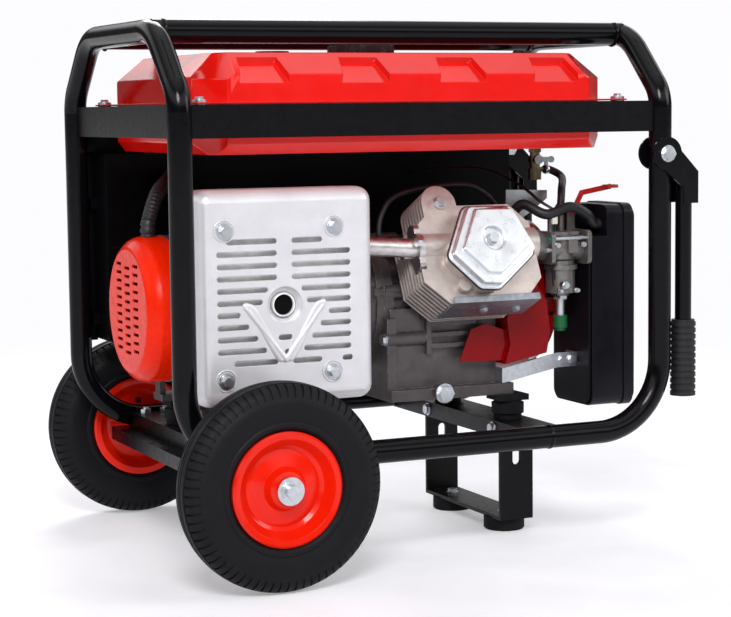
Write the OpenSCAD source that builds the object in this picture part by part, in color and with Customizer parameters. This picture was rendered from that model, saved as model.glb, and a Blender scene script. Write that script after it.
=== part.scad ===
// Open-frame portable generator: a tubular cradle on two wheels and a front leg
// carries a fuel tank, a slanted single-cylinder engine and an alternator.
// X runs along the frame from the alternator to the air cleaner, -Y is the
// muffler side, +Y is the control-panel side and the floor is Z = 0.

/* [Frame] */
// Length of the tube frame over its posts
frame_l = 698; // [660:1:760]
// Width of the tube frame over its posts
frame_w = 464; // [440:1:500]
// Height of the frame's top above the floor
frame_top = 687; // [680:1:720]
// Height of the bottom rails' underside above the floor
rail_under = 132; // [131:1:134]
// Outside diameter of the frame tube
tube_d = 30; // [27:1:33]
// Wall of the frame tube
tube_wall = 2; // [1.5:0.5:3]
// Bend radius, to the tube's middle, from the bottom rails up into the posts
rail_bend_r = 92; // [70:1:100]
// How far each shoulder leans in and drops, at 45 degrees
shoulder = 81; // [70:1:90]
// Bend radius at the foot of a shoulder
shoulder_low_r = 45; // [35:1:55]
// Bend radius at the head of a shoulder
shoulder_high_r = 80; // [60:1:90]
// Distance of each top rail from the middle plane
top_rail_y = 119; // [110:1:125]
// Where the two hoops meet along the bottom rails, from the frame's middle
rail_joint_x = 164; // [150:1:200]
// Height of the flat bands round the tank
band_h = 40; // [30:1:50]
// Thickness of the flat bands
band_t = 4; // [3:0.5:6]
// Height of the bands' upper edge
band_top = 581.5; // [575:0.5:590]

/* [Cross members and leg] */
// Width of the channels across the bottom rails
channel_w = 56; // [50:1:64]
// Thickness of the channels' plate
channel_t = 3; // [2:0.5:4]
// Place along the frame of the channel under the engine
engine_channel_x = 173; // [165:1:180]
// Place along the frame of the channel under the alternator
alt_channel_x = -238; // [-242:1:-230]
// Width of the front leg's flat bar
leg_w = 50; // [40:1:50]
// Thickness of the front leg's flat bar
leg_t = 5; // [4:0.5:6]
// Distance of the leg's uprights from the middle plane
leg_y = 112; // [100:1:120]
// Distance of the rubber feet from the middle plane
foot_y = 78; // [60:1:80]
// Radius of a rubber foot
foot_r = 28; // [22:1:30]
// Height of a rubber foot
foot_h = 18; // [14:1:24]

/* [Wheels] */
// Outside radius of the tyres
wheel_r = 127; // [125:1:128]
// Width of the tyres
tyre_w = 60; // [50:1:62]
// Radius of the rim where the tyre sits
rim_r = 70; // [60:1:75]
// Clear space from the frame tube to the tyre
wheel_gap = 15; // [12:1:20]
// Diameter of the stub axles
axle_d = 16; // [12:0.5:18]
// Radial running clearance of a wheel hub on its axle
hub_fit = 0.08; // [0.03:0.01:0.1]
// Thickness of the washers each side of a hub
washer_t = 2.5; // [2:0.5:3]

/* [Lifting handles] */
// Height of the handle pivots above the floor
pivot_z = 512; // [480:1:520]
// Radius of the round ends of the cheek plates
cheek_r = 22; // [20:1:24]
// Thickness of the cheek plates
cheek_t = 3; // [2:0.5:4]
// Distance of the hanging handle tube from its pivot, outwards
handle_out = 37; // [36:1:40]
// Diameter of the handle tube
handle_d = 22; // [18:1:24]
// Length of the handle from its pivot to the grip's end
handle_l = 324; // [280:1:340]
// Length of the rubber grip
grip_l = 102; // [90:1:130]
// Outside radius of the rubber grip
grip_r = 17; // [14:0.5:18]
// Diameter of the pivot bolts
pivot_d = 10; // [8:0.5:12]

/* [Fuel tank] */
// Length of the tank body
tank_l = 573; // [540:1:580]
// How far the tank's middle lies from the frame's middle
tank_x = -8; // [-12:1:-4]
// Width of the tank body
tank_w = 370; // [340:1:380]
// Height of the tank's lower shell below its flange
tank_low_h = 62; // [50:1:64]
// Height of the upper shell from the flange to its crease
tank_side_h = 36; // [30:1:40]
// Height of the upper shell above its flange
tank_top_h = 63; // [58:1:66]
// How far the flange stands out from the body
flange_out = 17; // [12:1:18]
// Wall of the tank's shells
tank_wall = 2; // [1:0.5:4]
// Length of one pocket in the tank's shoulder
pocket_l = 66; // [50:1:80]
// Distance between pockets
pocket_pitch = 136; // [120:1:140]
// Radius of the fuel cap
cap_r = 45; // [40:1:50]
// Radius of the filler neck's bore
neck_r = 28; // [22:1:30]

/* [Engine] */
// Height of the crank axis above the floor
crank_z = 318; // [314:1:322]
// Distance of the crank axis from the middle plane
crank_y = 14; // [8:1:18]
// Lean of the cylinder up from level, in degrees
cyl_tilt = 25; // [22:1:28]
// Place of the cylinder axis along the frame
cyl_x = 107; // [105:1:110]
// Height of the engine's base above the floor
base_z = 188; // [184:1:192]
// Cylinder bore radius
bore_r = 44; // [40:0.5:46]
// Piston stroke
stroke = 64; // [58:1:66]
// Distance from the crank axis to the foot of the barrel
deck_s = 92; // [88:1:95]
// Distance from the crank axis to the joint of barrel and head
joint_s = 142; // [140:1:146]
// Distance from the crank axis to the valve cover's joint
cover_s = 190; // [186:1:194]
// Depth of the valve cover
cover_depth = 21; // [16:1:24]
// Thickness of a cooling fin
fin_t = 2.4; // [2:0.1:3]
// Distance between cooling fins
fin_pitch = 8.4; // [8:0.1:9]
// Radius of the crankshaft's journals
journal_r = 17; // [15:0.5:18]

/* [Muffler] */
// Length of the heat shield
shield_l = 236; // [220:1:240]
// Height of the heat shield
shield_h = 268; // [255:1:272]
// Height of the heat shield's lower edge
shield_z = 210; // [207:1:216]
// Distance of the shield's face from the middle plane
shield_y = 180; // [176:1:184]
// Place of the shield's middle along the frame
shield_x = -183; // [-186:1:-180]
// Thickness of the shield's plate
shield_t = 1.6; // [1.2:0.1:2.4]
// Depth of the shield's folded edge
shield_depth = 36; // [30:1:44]
// Radius of the shield's rounded edges
shield_r = 18; // [12:1:22]
// Distance from the front of the shield to the back of the muffler
muffler_depth = 92; // [84:1:96]
// Number of slot rows in the shield
slot_rows = 11; // [9:1:11]
// Distance between slot rows
slot_pitch = 15; // [14:0.5:16]
// Height of one slot
slot_h = 6.6; // [5:0.2:8]
// Bore radius of the outlet pipe
outlet_r = 13; // [11:0.5:14]

/* [Air cleaner] */
// Thickness of the air cleaner along the frame
cleaner_t = 72; // [66:1:72]
// Depth of the air cleaner across the frame
cleaner_w = 104; // [96:1:112]
// Height of the air cleaner
cleaner_h = 274; // [260:1:280]
// Height of the air cleaner's underside
cleaner_z = 168; // [165:1:175]
// Distance of the air cleaner's near face from the middle plane
cleaner_y = 138; // [132:1:142]
// Place along the frame of the air cleaner's inner face
cleaner_x = 275; // [273:1:277]

/* [Alternator] */
// Radius of the stator stack
stator_r = 98; // [92:1:100]
// Radius of the end cover
end_r = 95; // [88:1:96]
// Place along the frame of the end cover's face
end_x = -330; // [-334:1:-322]
// Depth of the end cover
end_depth = 48; // [40:1:52]
// Radial running gap between rotor and stator
air_gap = 0.8; // [0.5:0.1:1.2]

/* [Control box] */
// Height of the control box
box_h = 256; // [230:1:256]
// Depth of the control box
box_d = 66; // [56:1:68]
// Thickness of the control box's walls
box_t = 2.5; // [2:0.5:4]

/* [Fits] */
// Gap between faces that move past each other
gap = 0.3; // [0.3:0.05:0.5]
// Radial running clearance of a shaft in its bush
run = 0.06; // [0.03:0.01:0.1]

/* [Hidden] */
$fn = 48;
eps = 0.01;
tube_r = tube_d / 2;
post_x = (frame_l - tube_d) / 2;
post_y = (frame_w - tube_d) / 2;
rail_z = rail_under + tube_r;
top_z = frame_top - tube_r;
wheel_x = alt_channel_x;
wheel_in = frame_w / 2 + wheel_gap;
wheel_mid = wheel_in + tyre_w / 2;
handle_x = post_x + handle_out;
// the frame's middle is set so that the whole object's middle is the origin
frame_mid = -((wheel_x - wheel_r) + (handle_x + grip_r)) / 2;
flange_z = band_top + 1;
tank_under = flange_z - tank_low_h;

// ---------- shared shapes ----------

// moves a piece from the frame's own middle to the object's middle
module placed() translate([frame_mid, 0, 0]) children();

// the far-side copy of a near-side piece
module far() mirror([0, 1, 0]) children();

module both_sides() {
  children();
  far() children();
}

function unit(v) = v / norm(v);

// turns +Z onto the direction v
module aim(v) rotate([0, acos(unit(v).z), atan2(v.y, v.x)]) children();

// round bar from a to b
module rod(a, b, r) translate(a) aim(b - a) cylinder(h = norm(b - a), r = r);

// bar that starts along +Z: its first child is the section of the straights and
// its second that of the bends; each step is a straight length, a roll, a bend
// radius and a bend angle, and the last step is a length alone
module bent(steps, i = 0) {
  s = steps[i];
  linear_extrude(s[0]) children(0);
  if (i < len(steps) - 1) translate([0, 0, s[0]]) rotate(s[1]) translate([s[2], 0, 0]) {
    rotate([90, 0, 180]) rotate_extrude(angle = s[3]) translate([s[2], 0]) children(1);
    rotate([0, s[3], 0]) translate([-s[2], 0, 0]) bent(steps, i + 1) {
      children(0);
      children(1);
    }
  }
}

// how much fuller a bend is than the straight tube beside it
bend_swell = 0.05;

// slanting pipe from a to b, cut square to X at both ends
module pipe_between(a, b, r) intersection() {
  rod(a - unit(b - a) * 2 * r, b + unit(b - a) * 2 * r, r);
  translate([a.x, a.y - 100, a.z - 100]) cube([b.x - a.x, 200, 200]);
}

// point at share t of the smooth curve between the route's points i and i + 1
function on_curve(p, i, t) =
  let(a = p[max(i - 1, 0)], b = p[i], c = p[i + 1], d = p[min(i + 2, len(p) - 1)])
  0.5 * (2 * b + (c - a) * t + (2 * a - 5 * b + 4 * c - d) * t * t + (3 * b - a - 3 * c + d) * t * t * t);

// the whole curve, with n steps between neighbouring points
function smooth(p, n) = [for (i = [0 : len(p) - 2], k = [0 : n - 1]) on_curve(p, i, k / n), p[len(p) - 1]];

// hose of radius r swept along the points q; side is a direction it never runs in
module hose(q, r, side = [0.2, 1, 0.3], sides = 10) {
  last = len(q) - 1;
  rings = [for (i = [0 : last]) let(
      t = unit(q[min(i + 1, last)] - q[max(i - 1, 0)]),
      u = unit(cross(side, t)), v = cross(t, u))
    for (k = [0 : sides - 1]) q[i] + r * (cos(k * 360 / sides) * u + sin(k * 360 / sides) * v)];
  walls = [for (i = [0 : last - 1], k = [0 : sides - 1]) let(j = (k + 1) % sides)
    each [[i * sides + k, (i + 1) * sides + j, i * sides + j], [i * sides + k, (i + 1) * sides + k, (i + 1) * sides + j]]];
  caps = [[for (k = [0 : sides - 1]) k], [for (k = [sides - 1 : -1 : 0]) last * sides + k]];
  polyhedron(rings, concat(walls, caps));
}

// flat bar with round ends, l long over the ends and w wide
module stadium(l, w) {
  square([l - w, w], center = true);
  for (x = [-1, 1]) translate([x * (l - w) / 2, 0]) circle(r = w / 2);
}

// round bar along X
module bar_x(x0, x1, r) translate([x0, 0, 0]) rotate([0, 90, 0]) cylinder(h = x1 - x0, r = r);

// round bar along Y
module bar_y(y0, y1, r) translate([0, y1, 0]) rotate([90, 0, 0]) cylinder(h = y1 - y0, r = r);

// box between two corners
module block(a, b) translate(a) cube(b - a);

// flat rectangle with round corners
module round_rect(w, h, r) {
  translate([-w / 2 + r, -h / 2]) square([w - 2 * r, h]);
  translate([-w / 2, -h / 2 + r]) square([w, h - 2 * r]);
  for (x = [-1, 1], y = [-1, 1]) translate([x * (w / 2 - r), y * (h / 2 - r)]) circle(r = r);
}

// hexagon bolt: head above z = 0 with its flange, shank below
module bolt(d, l, head = 0) {
  h = head > 0 ? head : d * 0.65;
  cylinder(h = h, r = d * 0.92, $fn = 6);
  cylinder(h = d * 0.15, r = d * 1.1);
  translate([0, 0, -l]) cylinder(h = l + eps, r = d / 2);
}

// hexagon nut standing on z = 0
module nut(d) cylinder(h = d * 0.8, r = d * 0.92, $fn = 6);

// engine pieces: Z along the cylinder, Y up, origin on the crank axis
module cylinder_frame() placed() translate([cyl_x, crank_y, crank_z])
  rotate([90 - cyl_tilt, 0, 0]) children();

// pieces on the crank axis: X along it
module crank_frame() placed() translate([0, crank_y, crank_z]) children();

// ---------- tube frame ----------

// straight length left between two bends of 45 degrees or 90 degrees
low_set = shoulder_low_r * tan(22.5);
high_set = shoulder_high_r * tan(22.5);
post_len = top_z - shoulder - low_set - rail_z - rail_bend_r;
slant_len = shoulder * sqrt(2) - low_set - high_set;
crown_len = 2 * (post_y - shoulder - high_set);

// one hoop: from the near rail joint, up the near post, over the top and back
// down to the far rail joint; side is -1 left, 1 right
module hoop_path(side) {
  rail_len = post_x - side * rail_joint_x - rail_bend_r;
  translate([rail_joint_x, -post_y, rail_z]) rotate([0, 90 * side, 0]) bent([
    [rail_len, side > 0 ? 180 : 0, rail_bend_r, 90],
    [post_len, -90 * side, shoulder_low_r, 45],
    [slant_len, 0, shoulder_high_r, 45],
    [crown_len, 0, shoulder_high_r, 45],
    [slant_len, 0, shoulder_low_r, 45],
    [post_len, 90 * side, rail_bend_r, 90],
    [rail_len]
  ]) {
    children(0);
    children(1);
  }
}

module hoop_solid(side) hoop_path(side) {
  circle(r = tube_r);
  circle(r = tube_r + bend_swell);
}

module tube_section(swell) difference() {
  circle(r = tube_r + swell);
  circle(r = tube_r - tube_wall - swell);
}

module hoop(side) difference() {
  hoop_path(side) {
    tube_section(0);
    tube_section(bend_swell);
  }
  if (side > 0) for (y = [-post_y, post_y]) translate([post_x, y, pivot_z])
    bar_y(-tube_d, tube_d, pivot_d / 2 + run);
}

module hoop_left() color("#17171a") placed() hoop(-1);

module hoop_right() color("#17171a") placed() hoop(1);

// the two rails along the top, notched to fit round the hoops
module top_rails() color("#17171a") placed() both_sides() difference() {
  translate([0, -top_rail_y, top_z]) bar_x(-post_x, post_x, tube_r);
  translate([0, -top_rail_y, top_z]) bar_x(-post_x - 1, post_x + 1, tube_r - tube_wall);
  for (side = [-1, 1]) hoop_solid(side);
}

band_y = post_y + 5;
band_x = post_x + 2;
tank_bolt_x = tank_l / 2 + flange_out - 12;
tank_bolt_y = tank_w / 2 + flange_out - 10;
gusset_edge = 13.5;
// legs of the corner plates, which reach past the tank's bolts
gusset = band_x - tank_x - tank_bolt_x + band_y - tank_bolt_y + gusset_edge;

// flat bars round the tank, welded between the posts, with corner plates
module tank_bands() color("#1d1b20") placed() difference() {
  union() {
    both_sides() block([-post_x, -band_y, band_top - band_h], [post_x, -band_y + band_t, band_top]);
    for (side = [-1, 1])
      block([side * band_x - (side > 0 ? band_t : 0), -post_y, band_top - band_h],
        [side * band_x + (side > 0 ? 0 : band_t), post_y, band_top]);
    for (sx = [-1, 1], sy = [-1, 1]) quarter(sx, sy)
      translate([0, 0, band_top - channel_t]) linear_extrude(channel_t)
        polygon([[band_x - 1, band_y - 1], [band_x - gusset, band_y - 1], [band_x - 1, band_y - gusset]]);
  }
  for (side = [-1, 1]) hoop_solid(side);
  for (sx = [-1, 1], sy = [-1, 1])
    translate([tank_x + sx * tank_bolt_x, sy * tank_bolt_y, band_top - tube_d])
      cylinder(h = tube_d * 2, r = 3.2);
}

// a piece copied into the quarter that sx and sy name
module quarter(sx, sy)
  mirror([sx < 0 ? 1 : 0, 0, 0]) mirror([0, sy < 0 ? 1 : 0, 0]) children();

channel_h = 22;
channel_top = rail_under + channel_h;

// a channel across the frame, open below, between the bottom rails
module channel(x) difference() {
  block([x - channel_w / 2, -post_y, rail_under], [x + channel_w / 2, post_y, channel_top]);
  block([x - channel_w / 2 + channel_t, -post_y - 1, rail_under - 1],
    [x + channel_w / 2 - channel_t, post_y + 1, channel_top - channel_t]);
}

leg_bolt_x = engine_channel_x - channel_w / 2;
leg_bolt_z = rail_under + 11;
leg_bolt_dy = 13;
mount_y = 90;
alt_mount_y = 78;

module cross_members() color("#17171a") placed() difference() {
  union() {
    channel(engine_channel_x);
    channel(alt_channel_x);
  }
  for (side = [-1, 1]) hoop_solid(side);
  for (y = [-leg_y + leg_bolt_dy, leg_y - leg_bolt_dy]) translate([leg_bolt_x, y, leg_bolt_z])
    bar_x(-1, channel_t + 1, 4.2);
  for (y = [-beam_bolt_y, beam_bolt_y], x = [-beam_bolt_x, beam_bolt_x])
    translate([wheel_x + x, y, rail_under]) cylinder(h = 40, r = 4.2);
}

beam_t = 4;
beam_l = 100;
beam_lip = 18;
beam_bolt_y = 186;
beam_bolt_x = 14;
ear_r = 22;
ear_t = 5;
ear_y = frame_w / 2;

// folded plate under the frame with an ear for each stub axle
module axle_beam() color("#17171a") placed() difference() {
  union() {
    block([wheel_x - beam_l / 2, -ear_y, rail_under - beam_t], [wheel_x + beam_l / 2, ear_y, rail_under]);
    for (side = [-1, 1]) translate([wheel_x + side * (beam_l - beam_t) / 2, 0, rail_under])
      block([-beam_t / 2, -ear_y, -beam_lip], [beam_t / 2, ear_y, 0]);
    both_sides() {
      translate([wheel_x, 0, wheel_r]) bar_y(-ear_y - ear_t, -ear_y, ear_r);
      block([wheel_x - ear_r, -ear_y - ear_t, wheel_r], [wheel_x + ear_r, -ear_y, rail_z]);
    }
  }
  for (y = [-beam_bolt_y, beam_bolt_y], x = [-beam_bolt_x, beam_bolt_x])
    translate([wheel_x + x, y, rail_under - 20]) cylinder(h = 40, r = 4.2);
  both_sides() translate([wheel_x, 0, wheel_r]) bar_y(-ear_y - 20, -ear_y + 20, axle_d / 2);
}

// distances along the axle, outwards from the middle plane
hub_in = wheel_in + 2;
hub_out = wheel_in + tyre_w + 4;
axle_end = hub_out + washer_t + 9;

// one stub axle a side, with its collar inside the hub
module axle_stubs() color("#b9bcbf") placed() both_sides() translate([wheel_x, 0, wheel_r]) {
  bar_y(-axle_end, -ear_y, axle_d / 2);
  bar_y(-hub_in + gap, -ear_y - ear_t, axle_d / 2 + 5);
}

leg_in = leg_y - leg_t / 2;
leg_slot_z = rail_under - 26;

// flat bar bent to a U, with tabs bolted inside the channel
module front_leg() color("#17171a") placed() difference() {
  union() {
    block([engine_channel_x - leg_w / 2, -leg_in, foot_h], [engine_channel_x + leg_w / 2, leg_in, foot_h + leg_t]);
    both_sides() {
      block([engine_channel_x - leg_w / 2, -leg_in - leg_t, foot_h],
        [engine_channel_x + leg_w / 2, -leg_in, channel_top - channel_t]);
      block([engine_channel_x - leg_w / 2, -leg_in - eps, rail_under + 2],
        [engine_channel_x - leg_w / 2 + leg_t, -leg_in + 26, channel_top - channel_t]);
    }
  }
  both_sides() {
    // stiffening window near the top of each upright
    translate([engine_channel_x, -leg_y, leg_slot_z]) rotate([90, 0, 0])
      linear_extrude(leg_t * 4, center = true) rotate(90) stadium(26, 12);
    translate([engine_channel_x - leg_w / 2, -leg_y + leg_bolt_dy, leg_bolt_z]) bar_x(-1, leg_t + 1, 4.2);
    translate([engine_channel_x, -foot_y, foot_h - 1]) cylinder(h = leg_t + 2, r = 4.2);
  }
}

// rubber feet under the leg's base
module rubber_feet() color("#202022") placed() both_sides()
  translate([engine_channel_x, -foot_y, 0]) difference() {
    union() {
      cylinder(h = foot_h - 6, r = foot_r - 2);
      translate([0, 0, 2]) cylinder(h = foot_h - 2, r = foot_r);
    }
    translate([0, 0, foot_h - 8]) cylinder(h = 9, r = 4.2);
  }

// vibration mounts: rubber blocks under the engine and the alternator
module rubber_mounts() color("#1c1c1e") placed()
  for (p = [[engine_channel_x, mount_y, 44], [alt_channel_x, alt_mount_y, 40]]) both_sides()
    translate([p.x, -p.y, channel_top]) {
      cylinder(h = base_z - channel_top - 8, r = 19);
      translate([0, 0, 8]) cylinder(h = base_z - channel_top - 20, r = 22);
      translate([0, 0, base_z - channel_top - 8]) block([-p.z / 2, -20, 0], [p.z / 2, 20, 8]);
    }

// wheel washers and rings, axle-beam bolts, leg bolts, tank bolts, handle pivots
module frame_fasteners() color("#c9ccd0") placed() {
  both_sides() {
    translate([wheel_x, 0, wheel_r]) difference() {
      union() {
        bar_y(-hub_out - gap - washer_t, -hub_out - gap, 17);
        bar_y(-hub_out - gap - washer_t - 1.5, -hub_out - gap, 12);
      }
      bar_y(-axle_end - 1, -ear_y, axle_d / 2);
    }
    for (x = [-beam_bolt_x, beam_bolt_x]) translate([wheel_x + x, -beam_bolt_y, 0]) {
      translate([0, 0, channel_top]) nut(8);
      translate([0, 0, rail_under - beam_t]) mirror([0, 0, 1]) bolt(8, channel_h + beam_t + 9);
    }
    translate([leg_bolt_x, -leg_y + leg_bolt_dy, leg_bolt_z]) rotate([0, -90, 0]) bolt(8, channel_t + leg_t + 2);
    translate([engine_channel_x, -foot_y, foot_h + leg_t]) bolt(8, leg_t + 7);
    for (x = [-tank_bolt_x, tank_bolt_x]) translate([tank_x + x, -tank_bolt_y, 0]) {
      translate([0, 0, flange_z + 2 + 3]) bolt(6, 12);
      translate([0, 0, flange_z + 2]) cylinder(h = 3, r = 9);
      translate([0, 0, band_top]) cylinder(h = flange_z - band_top, r = 9);
    }
    translate([post_x, -post_y - tube_r - 0.5 - cheek_t - gap, pivot_z]) rotate([90, 0, 0])
      bolt(pivot_d, tube_d + 2 * (0.5 + cheek_t + gap), 7);
    translate([post_x, -post_y + tube_r + 0.5 + cheek_t + gap, pivot_z]) rotate([-90, 0, 0]) nut(pivot_d);
  }
}

// ---------- fuel tank ----------

tank_end_slope = 42;
tank_side_slope = 37;
pocket_depth = 9;

// chamfered rectangle, the outline of the tank seen from above
module tank_outline(grow, cut) {
  l = tank_l / 2 + grow;
  w = tank_w / 2 + grow;
  polygon([[-l + cut, -w], [l - cut, -w], [l, -w + cut], [l, w - cut],
    [l - cut, w], [-l + cut, w], [-l, w - cut], [-l, -w + cut]]);
}

// everything above a plane that starts at the tank's edge and rises inwards
module slope_off(reach, height, slope, depth) translate([0, -reach, height])
  rotate([slope, 0, 0]) translate([-tank_l, -tank_w / 2, -depth]) cube([tank_l * 2, tank_w * 3, tank_w]);

// the pressed body between two heights, set in from the outer shape by inset
module tank_body(inset) difference() {
  translate([0, 0, -tank_low_h + inset]) linear_extrude(tank_low_h + tank_top_h - 2 * inset)
    tank_outline(-inset, 34);
  for (turn = [0, 180]) rotate(turn) {
    slope_off(tank_w / 2, tank_side_h, tank_side_slope, inset);
    // bevel along the bottom edge
    translate([0, -tank_w / 2, -tank_low_h + 12]) rotate([-50, 0, 0])
      translate([-tank_l, -tank_w, -tank_w + inset]) cube([tank_l * 2, tank_w * 2, tank_w]);
  }
  for (turn = [90, 270]) rotate(turn) {
    slope_off(tank_l / 2, tank_side_h - 3, tank_end_slope, inset);
    translate([0, -tank_l / 2, -tank_low_h + 14]) rotate([-45, 0, 0])
      translate([-tank_l, -tank_w, -tank_w + inset]) cube([tank_l * 2, tank_w * 2, tank_w]);
  }
  for (turn = [45, 135, 225, 315]) rotate(turn)
    slope_off((tank_l / 2 + tank_w / 2 - 34) * sqrt(0.5), tank_side_h - 6, tank_side_slope + 6, inset);
}

pocket_top = tank_w * 0.093;

// one pocket pressed into the shoulder, with sloping ends, grown by t on every side
module pocket(t) translate([0, -tank_w / 2, tank_side_h]) rotate([tank_side_slope, 0, 0])
  translate([0, 0, -pocket_depth - t]) linear_extrude(tank_w)
    polygon([[-pocket_l / 2 - 6 - t, -40], [pocket_l / 2 + 6 + t, -40],
      [pocket_l / 2 - 7 + t, pocket_top + t], [-pocket_l / 2 + 7 - t, pocket_top + t]]);

// the four pockets of each long side
module pockets(t) for (i = [0 : 3], turn = [0, 180]) rotate(turn)
  translate([(i - 1.5) * pocket_pitch, 0, 0]) pocket(t);

neck_h = 5;
neck_wall = 3;

module tank_placed() placed() translate([tank_x, 0, flange_z]) children();

// the cap and the gauge stand on the frame's middle line
cap_x = -tank_x;
gauge_x = -tank_x - 128;
gauge_r = 22;
cock_x = 250;
cock_y = -30;

// two pressed shells, welded along the flange into one vessel
module fuel_tank() color("#df2419") tank_placed() difference() {
  union() {
    difference() {
      tank_body(0);
      pockets(0);
    }
    linear_extrude(2) tank_outline(flange_out, 6);
    translate([cap_x, 0, tank_top_h - 1]) cylinder(h = neck_h + 1, r = neck_r + neck_wall);
  }
  difference() {
    tank_body(tank_wall);
    pockets(tank_wall);
  }
  translate([cap_x, 0, tank_top_h - tank_wall - 20]) cylinder(h = 40, r = neck_r);
  for (sx = [-1, 1], sy = [-1, 1]) translate([sx * tank_bolt_x, sy * tank_bolt_y, -1]) cylinder(h = 4, r = 3.2);
}

cap_h = 13;

// turning cap with a finger grip, seated over the neck
module fuel_cap() color("#26262a") tank_placed() translate([cap_x, 0, tank_top_h]) {
  difference() {
    translate([0, 0, gap]) cylinder(h = cap_h, r = cap_r);
    translate([0, 0, -1]) cylinder(h = neck_h + 1 + gap, r = neck_r + neck_wall + gap);
    for (i = [0 : 17]) rotate(i * 20) translate([cap_r + 1, 0, -1]) cylinder(h = cap_h + 4, r = 2.4);
  }
  translate([0, 0, -6]) cylinder(h = cap_h + 6, r = neck_r - gap);
}

// float gauge: a bezel with a sunken window
module fuel_gauge() color("#1b1b1d") tank_placed() translate([gauge_x, 0, tank_top_h]) difference() {
  cylinder(h = 6, r = gauge_r);
  translate([0, 0, 3.5]) cylinder(h = 3, r = gauge_r - 5);
}

cock_len = 46;
lever_z = tank_under - 18;

// brass fuel tap screwed into the tank's underside
module fuel_cock() color("#8d8a80") placed() translate([cock_x, cock_y, 0]) difference() {
  union() {
    translate([0, 0, tank_under - 8]) cylinder(h = 8, r = 10, $fn = 6);
    translate([0, 0, tank_under - 32]) cylinder(h = 26, r = 7);
    translate([0, 0, tank_under - cock_len]) cylinder(h = 16, r = 9);
    translate([0, 0, lever_z]) bar_y(-9, 9, 6);
    translate([0, 0, tank_under - 32]) bar_x(0, 13, 3.4);
  }
  translate([0, 0, lever_z]) bar_y(-20, 10, 2.5 + run);
}

// the tap's lever: a small plate on its spindle
module fuel_cock_lever() color("#a03328") placed() translate([cock_x, cock_y, lever_z]) {
  bar_y(-11, 9, 2.5);
  bar_y(-12, -9 - gap, 6.5);
  block([0, -12, -3.5], [20, -9 - gap, 3.5]);
  translate([20, 0, 0]) bar_y(-12, -9 - gap, 4.5);
}

hose_start = [cock_x + 13, cock_y, tank_under - 32];
carb_x = 243;
carb_y = -112;
carb_z = 386;
inlet = [carb_x + 10, carb_y + 16, carb_z + 42];

// petrol hose from the tap to the carburettor's inlet
module fuel_hose() color("#1a1a1b") placed() hose(smooth([
  hose_start + [0.3, 0, 0], hose_start + [4, 0, 0], hose_start + [9, 0, 0], hose_start + [20, -16, -10], [inlet.x + 6, inlet.y + 8, inlet.z + 34],
  inlet + [0, 0, 12], inlet + [0, 0, 0.4]
], 3), 5.4, [0.2, 1, 0.3]);

// ---------- engine ----------

case_x0 = -5;
case_x1 = 165;
case_r = 84;
case_near = 96;
case_far = 100;
flange_h = 15;
crank_gap_r = 58;
web_r = 50;
crank_throw = stroke / 2;

// cast crankcase: drum, sump with a base flange and the barrel's seat
module crankcase() color("#77706d") {
  crank_frame() difference() {
    union() {
      bar_x(case_x0, case_x1, case_r);
      // sump
      block([case_x0 + 6, -case_near, base_z - crank_z + flange_h - eps], [case_x1 - 6, case_far, -8]);
      block([case_x0, -case_near - 16, base_z - crank_z], [case_x1 + 13, case_far + 10, base_z - crank_z + flange_h]);
      // ribs on the near wall under the barrel
      for (i = [0 : 2]) block([case_x0 + 62, -case_near - 8, -62 + i * 15], [case_x1 - 40, -case_near + 1, -56 + i * 15]);
      block([case_x0 + 56, -case_near - 9, -70], [case_x0 + 63, -case_near + 1, -18]);
      // joint flange and bolt bosses at the alternator end
      bar_x(case_x0, case_x0 + 14, case_r + 8);
      for (a = [20 : 60 : 340]) rotate([a, 0, 0]) translate([0, 0, case_r]) bar_x(case_x0 + 2, case_x0 + 46, 11);
      block([case_x0, -case_near - 4, base_z - crank_z + flange_h - eps], [case_x0 + 14, case_far + 4, -20]);
      translate([0, -case_near + 2, -48]) bar_x(case_x0, case_x0 + 62, 10);
      // drain boss
      translate([70, 0, base_z - crank_z + 8.5]) bar_y(-case_near - 22, -case_near + 6, 10);
      // barrel seat
      translate([cyl_x, 0, 0]) rotate([90 - cyl_tilt, 0, 0]) translate([-62, -62, 0]) cube([124, 124, deck_s]);
    }
    bar_x(case_x0 + 18, case_x1 - 18, crank_gap_r);
    bar_x(case_x0 - 60, case_x1 + 60, journal_r + run);
    translate([cyl_x, 0, 0]) rotate([90 - cyl_tilt, 0, 0]) cylinder(h = deck_s + 1, r = bore_r + 4);
    // threads of the drain plug and of the joint's bolt
    translate([70, 0, base_z - crank_z + 8.5]) bar_y(-case_near - 23, -case_near - 12, 6);
    translate([0, -case_near + 2, -48]) bar_x(case_x0 - 1, case_x0 + 6, 4);
    // space for the mounts' bolts
    for (y = [-mount_y, mount_y]) translate([engine_channel_x - 6, y - crank_y, base_z - crank_z - 1])
      cylinder(h = flange_h + 2, r = 4.5);
  }
}

fin_left = 92;
fin_right = 80;
fin_low = 74;
fin_high = 62;
lobe_r = 25;

// one cooling fin: corners cut off below, a round lobe above at the left
module fin_shape(grow = 0) {
  polygon([[-fin_left - grow, -42], [-fin_left + 32, -fin_low - grow], [fin_right - 30, -fin_low - grow],
    [fin_right + grow, -44], [fin_right + grow, 34], [fin_right - 26, fin_high + grow],
    [-58, fin_high + grow], [-fin_left - grow, 30]]);
}

lobe_x = -48;
lobe_t = 66;

module fin() {
  fin_shape();
  translate([lobe_x, lobe_t]) circle(r = lobe_r);
  translate([lobe_x, lobe_t - 26]) square([lobe_r * 2, 52], center = true);
}

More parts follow.
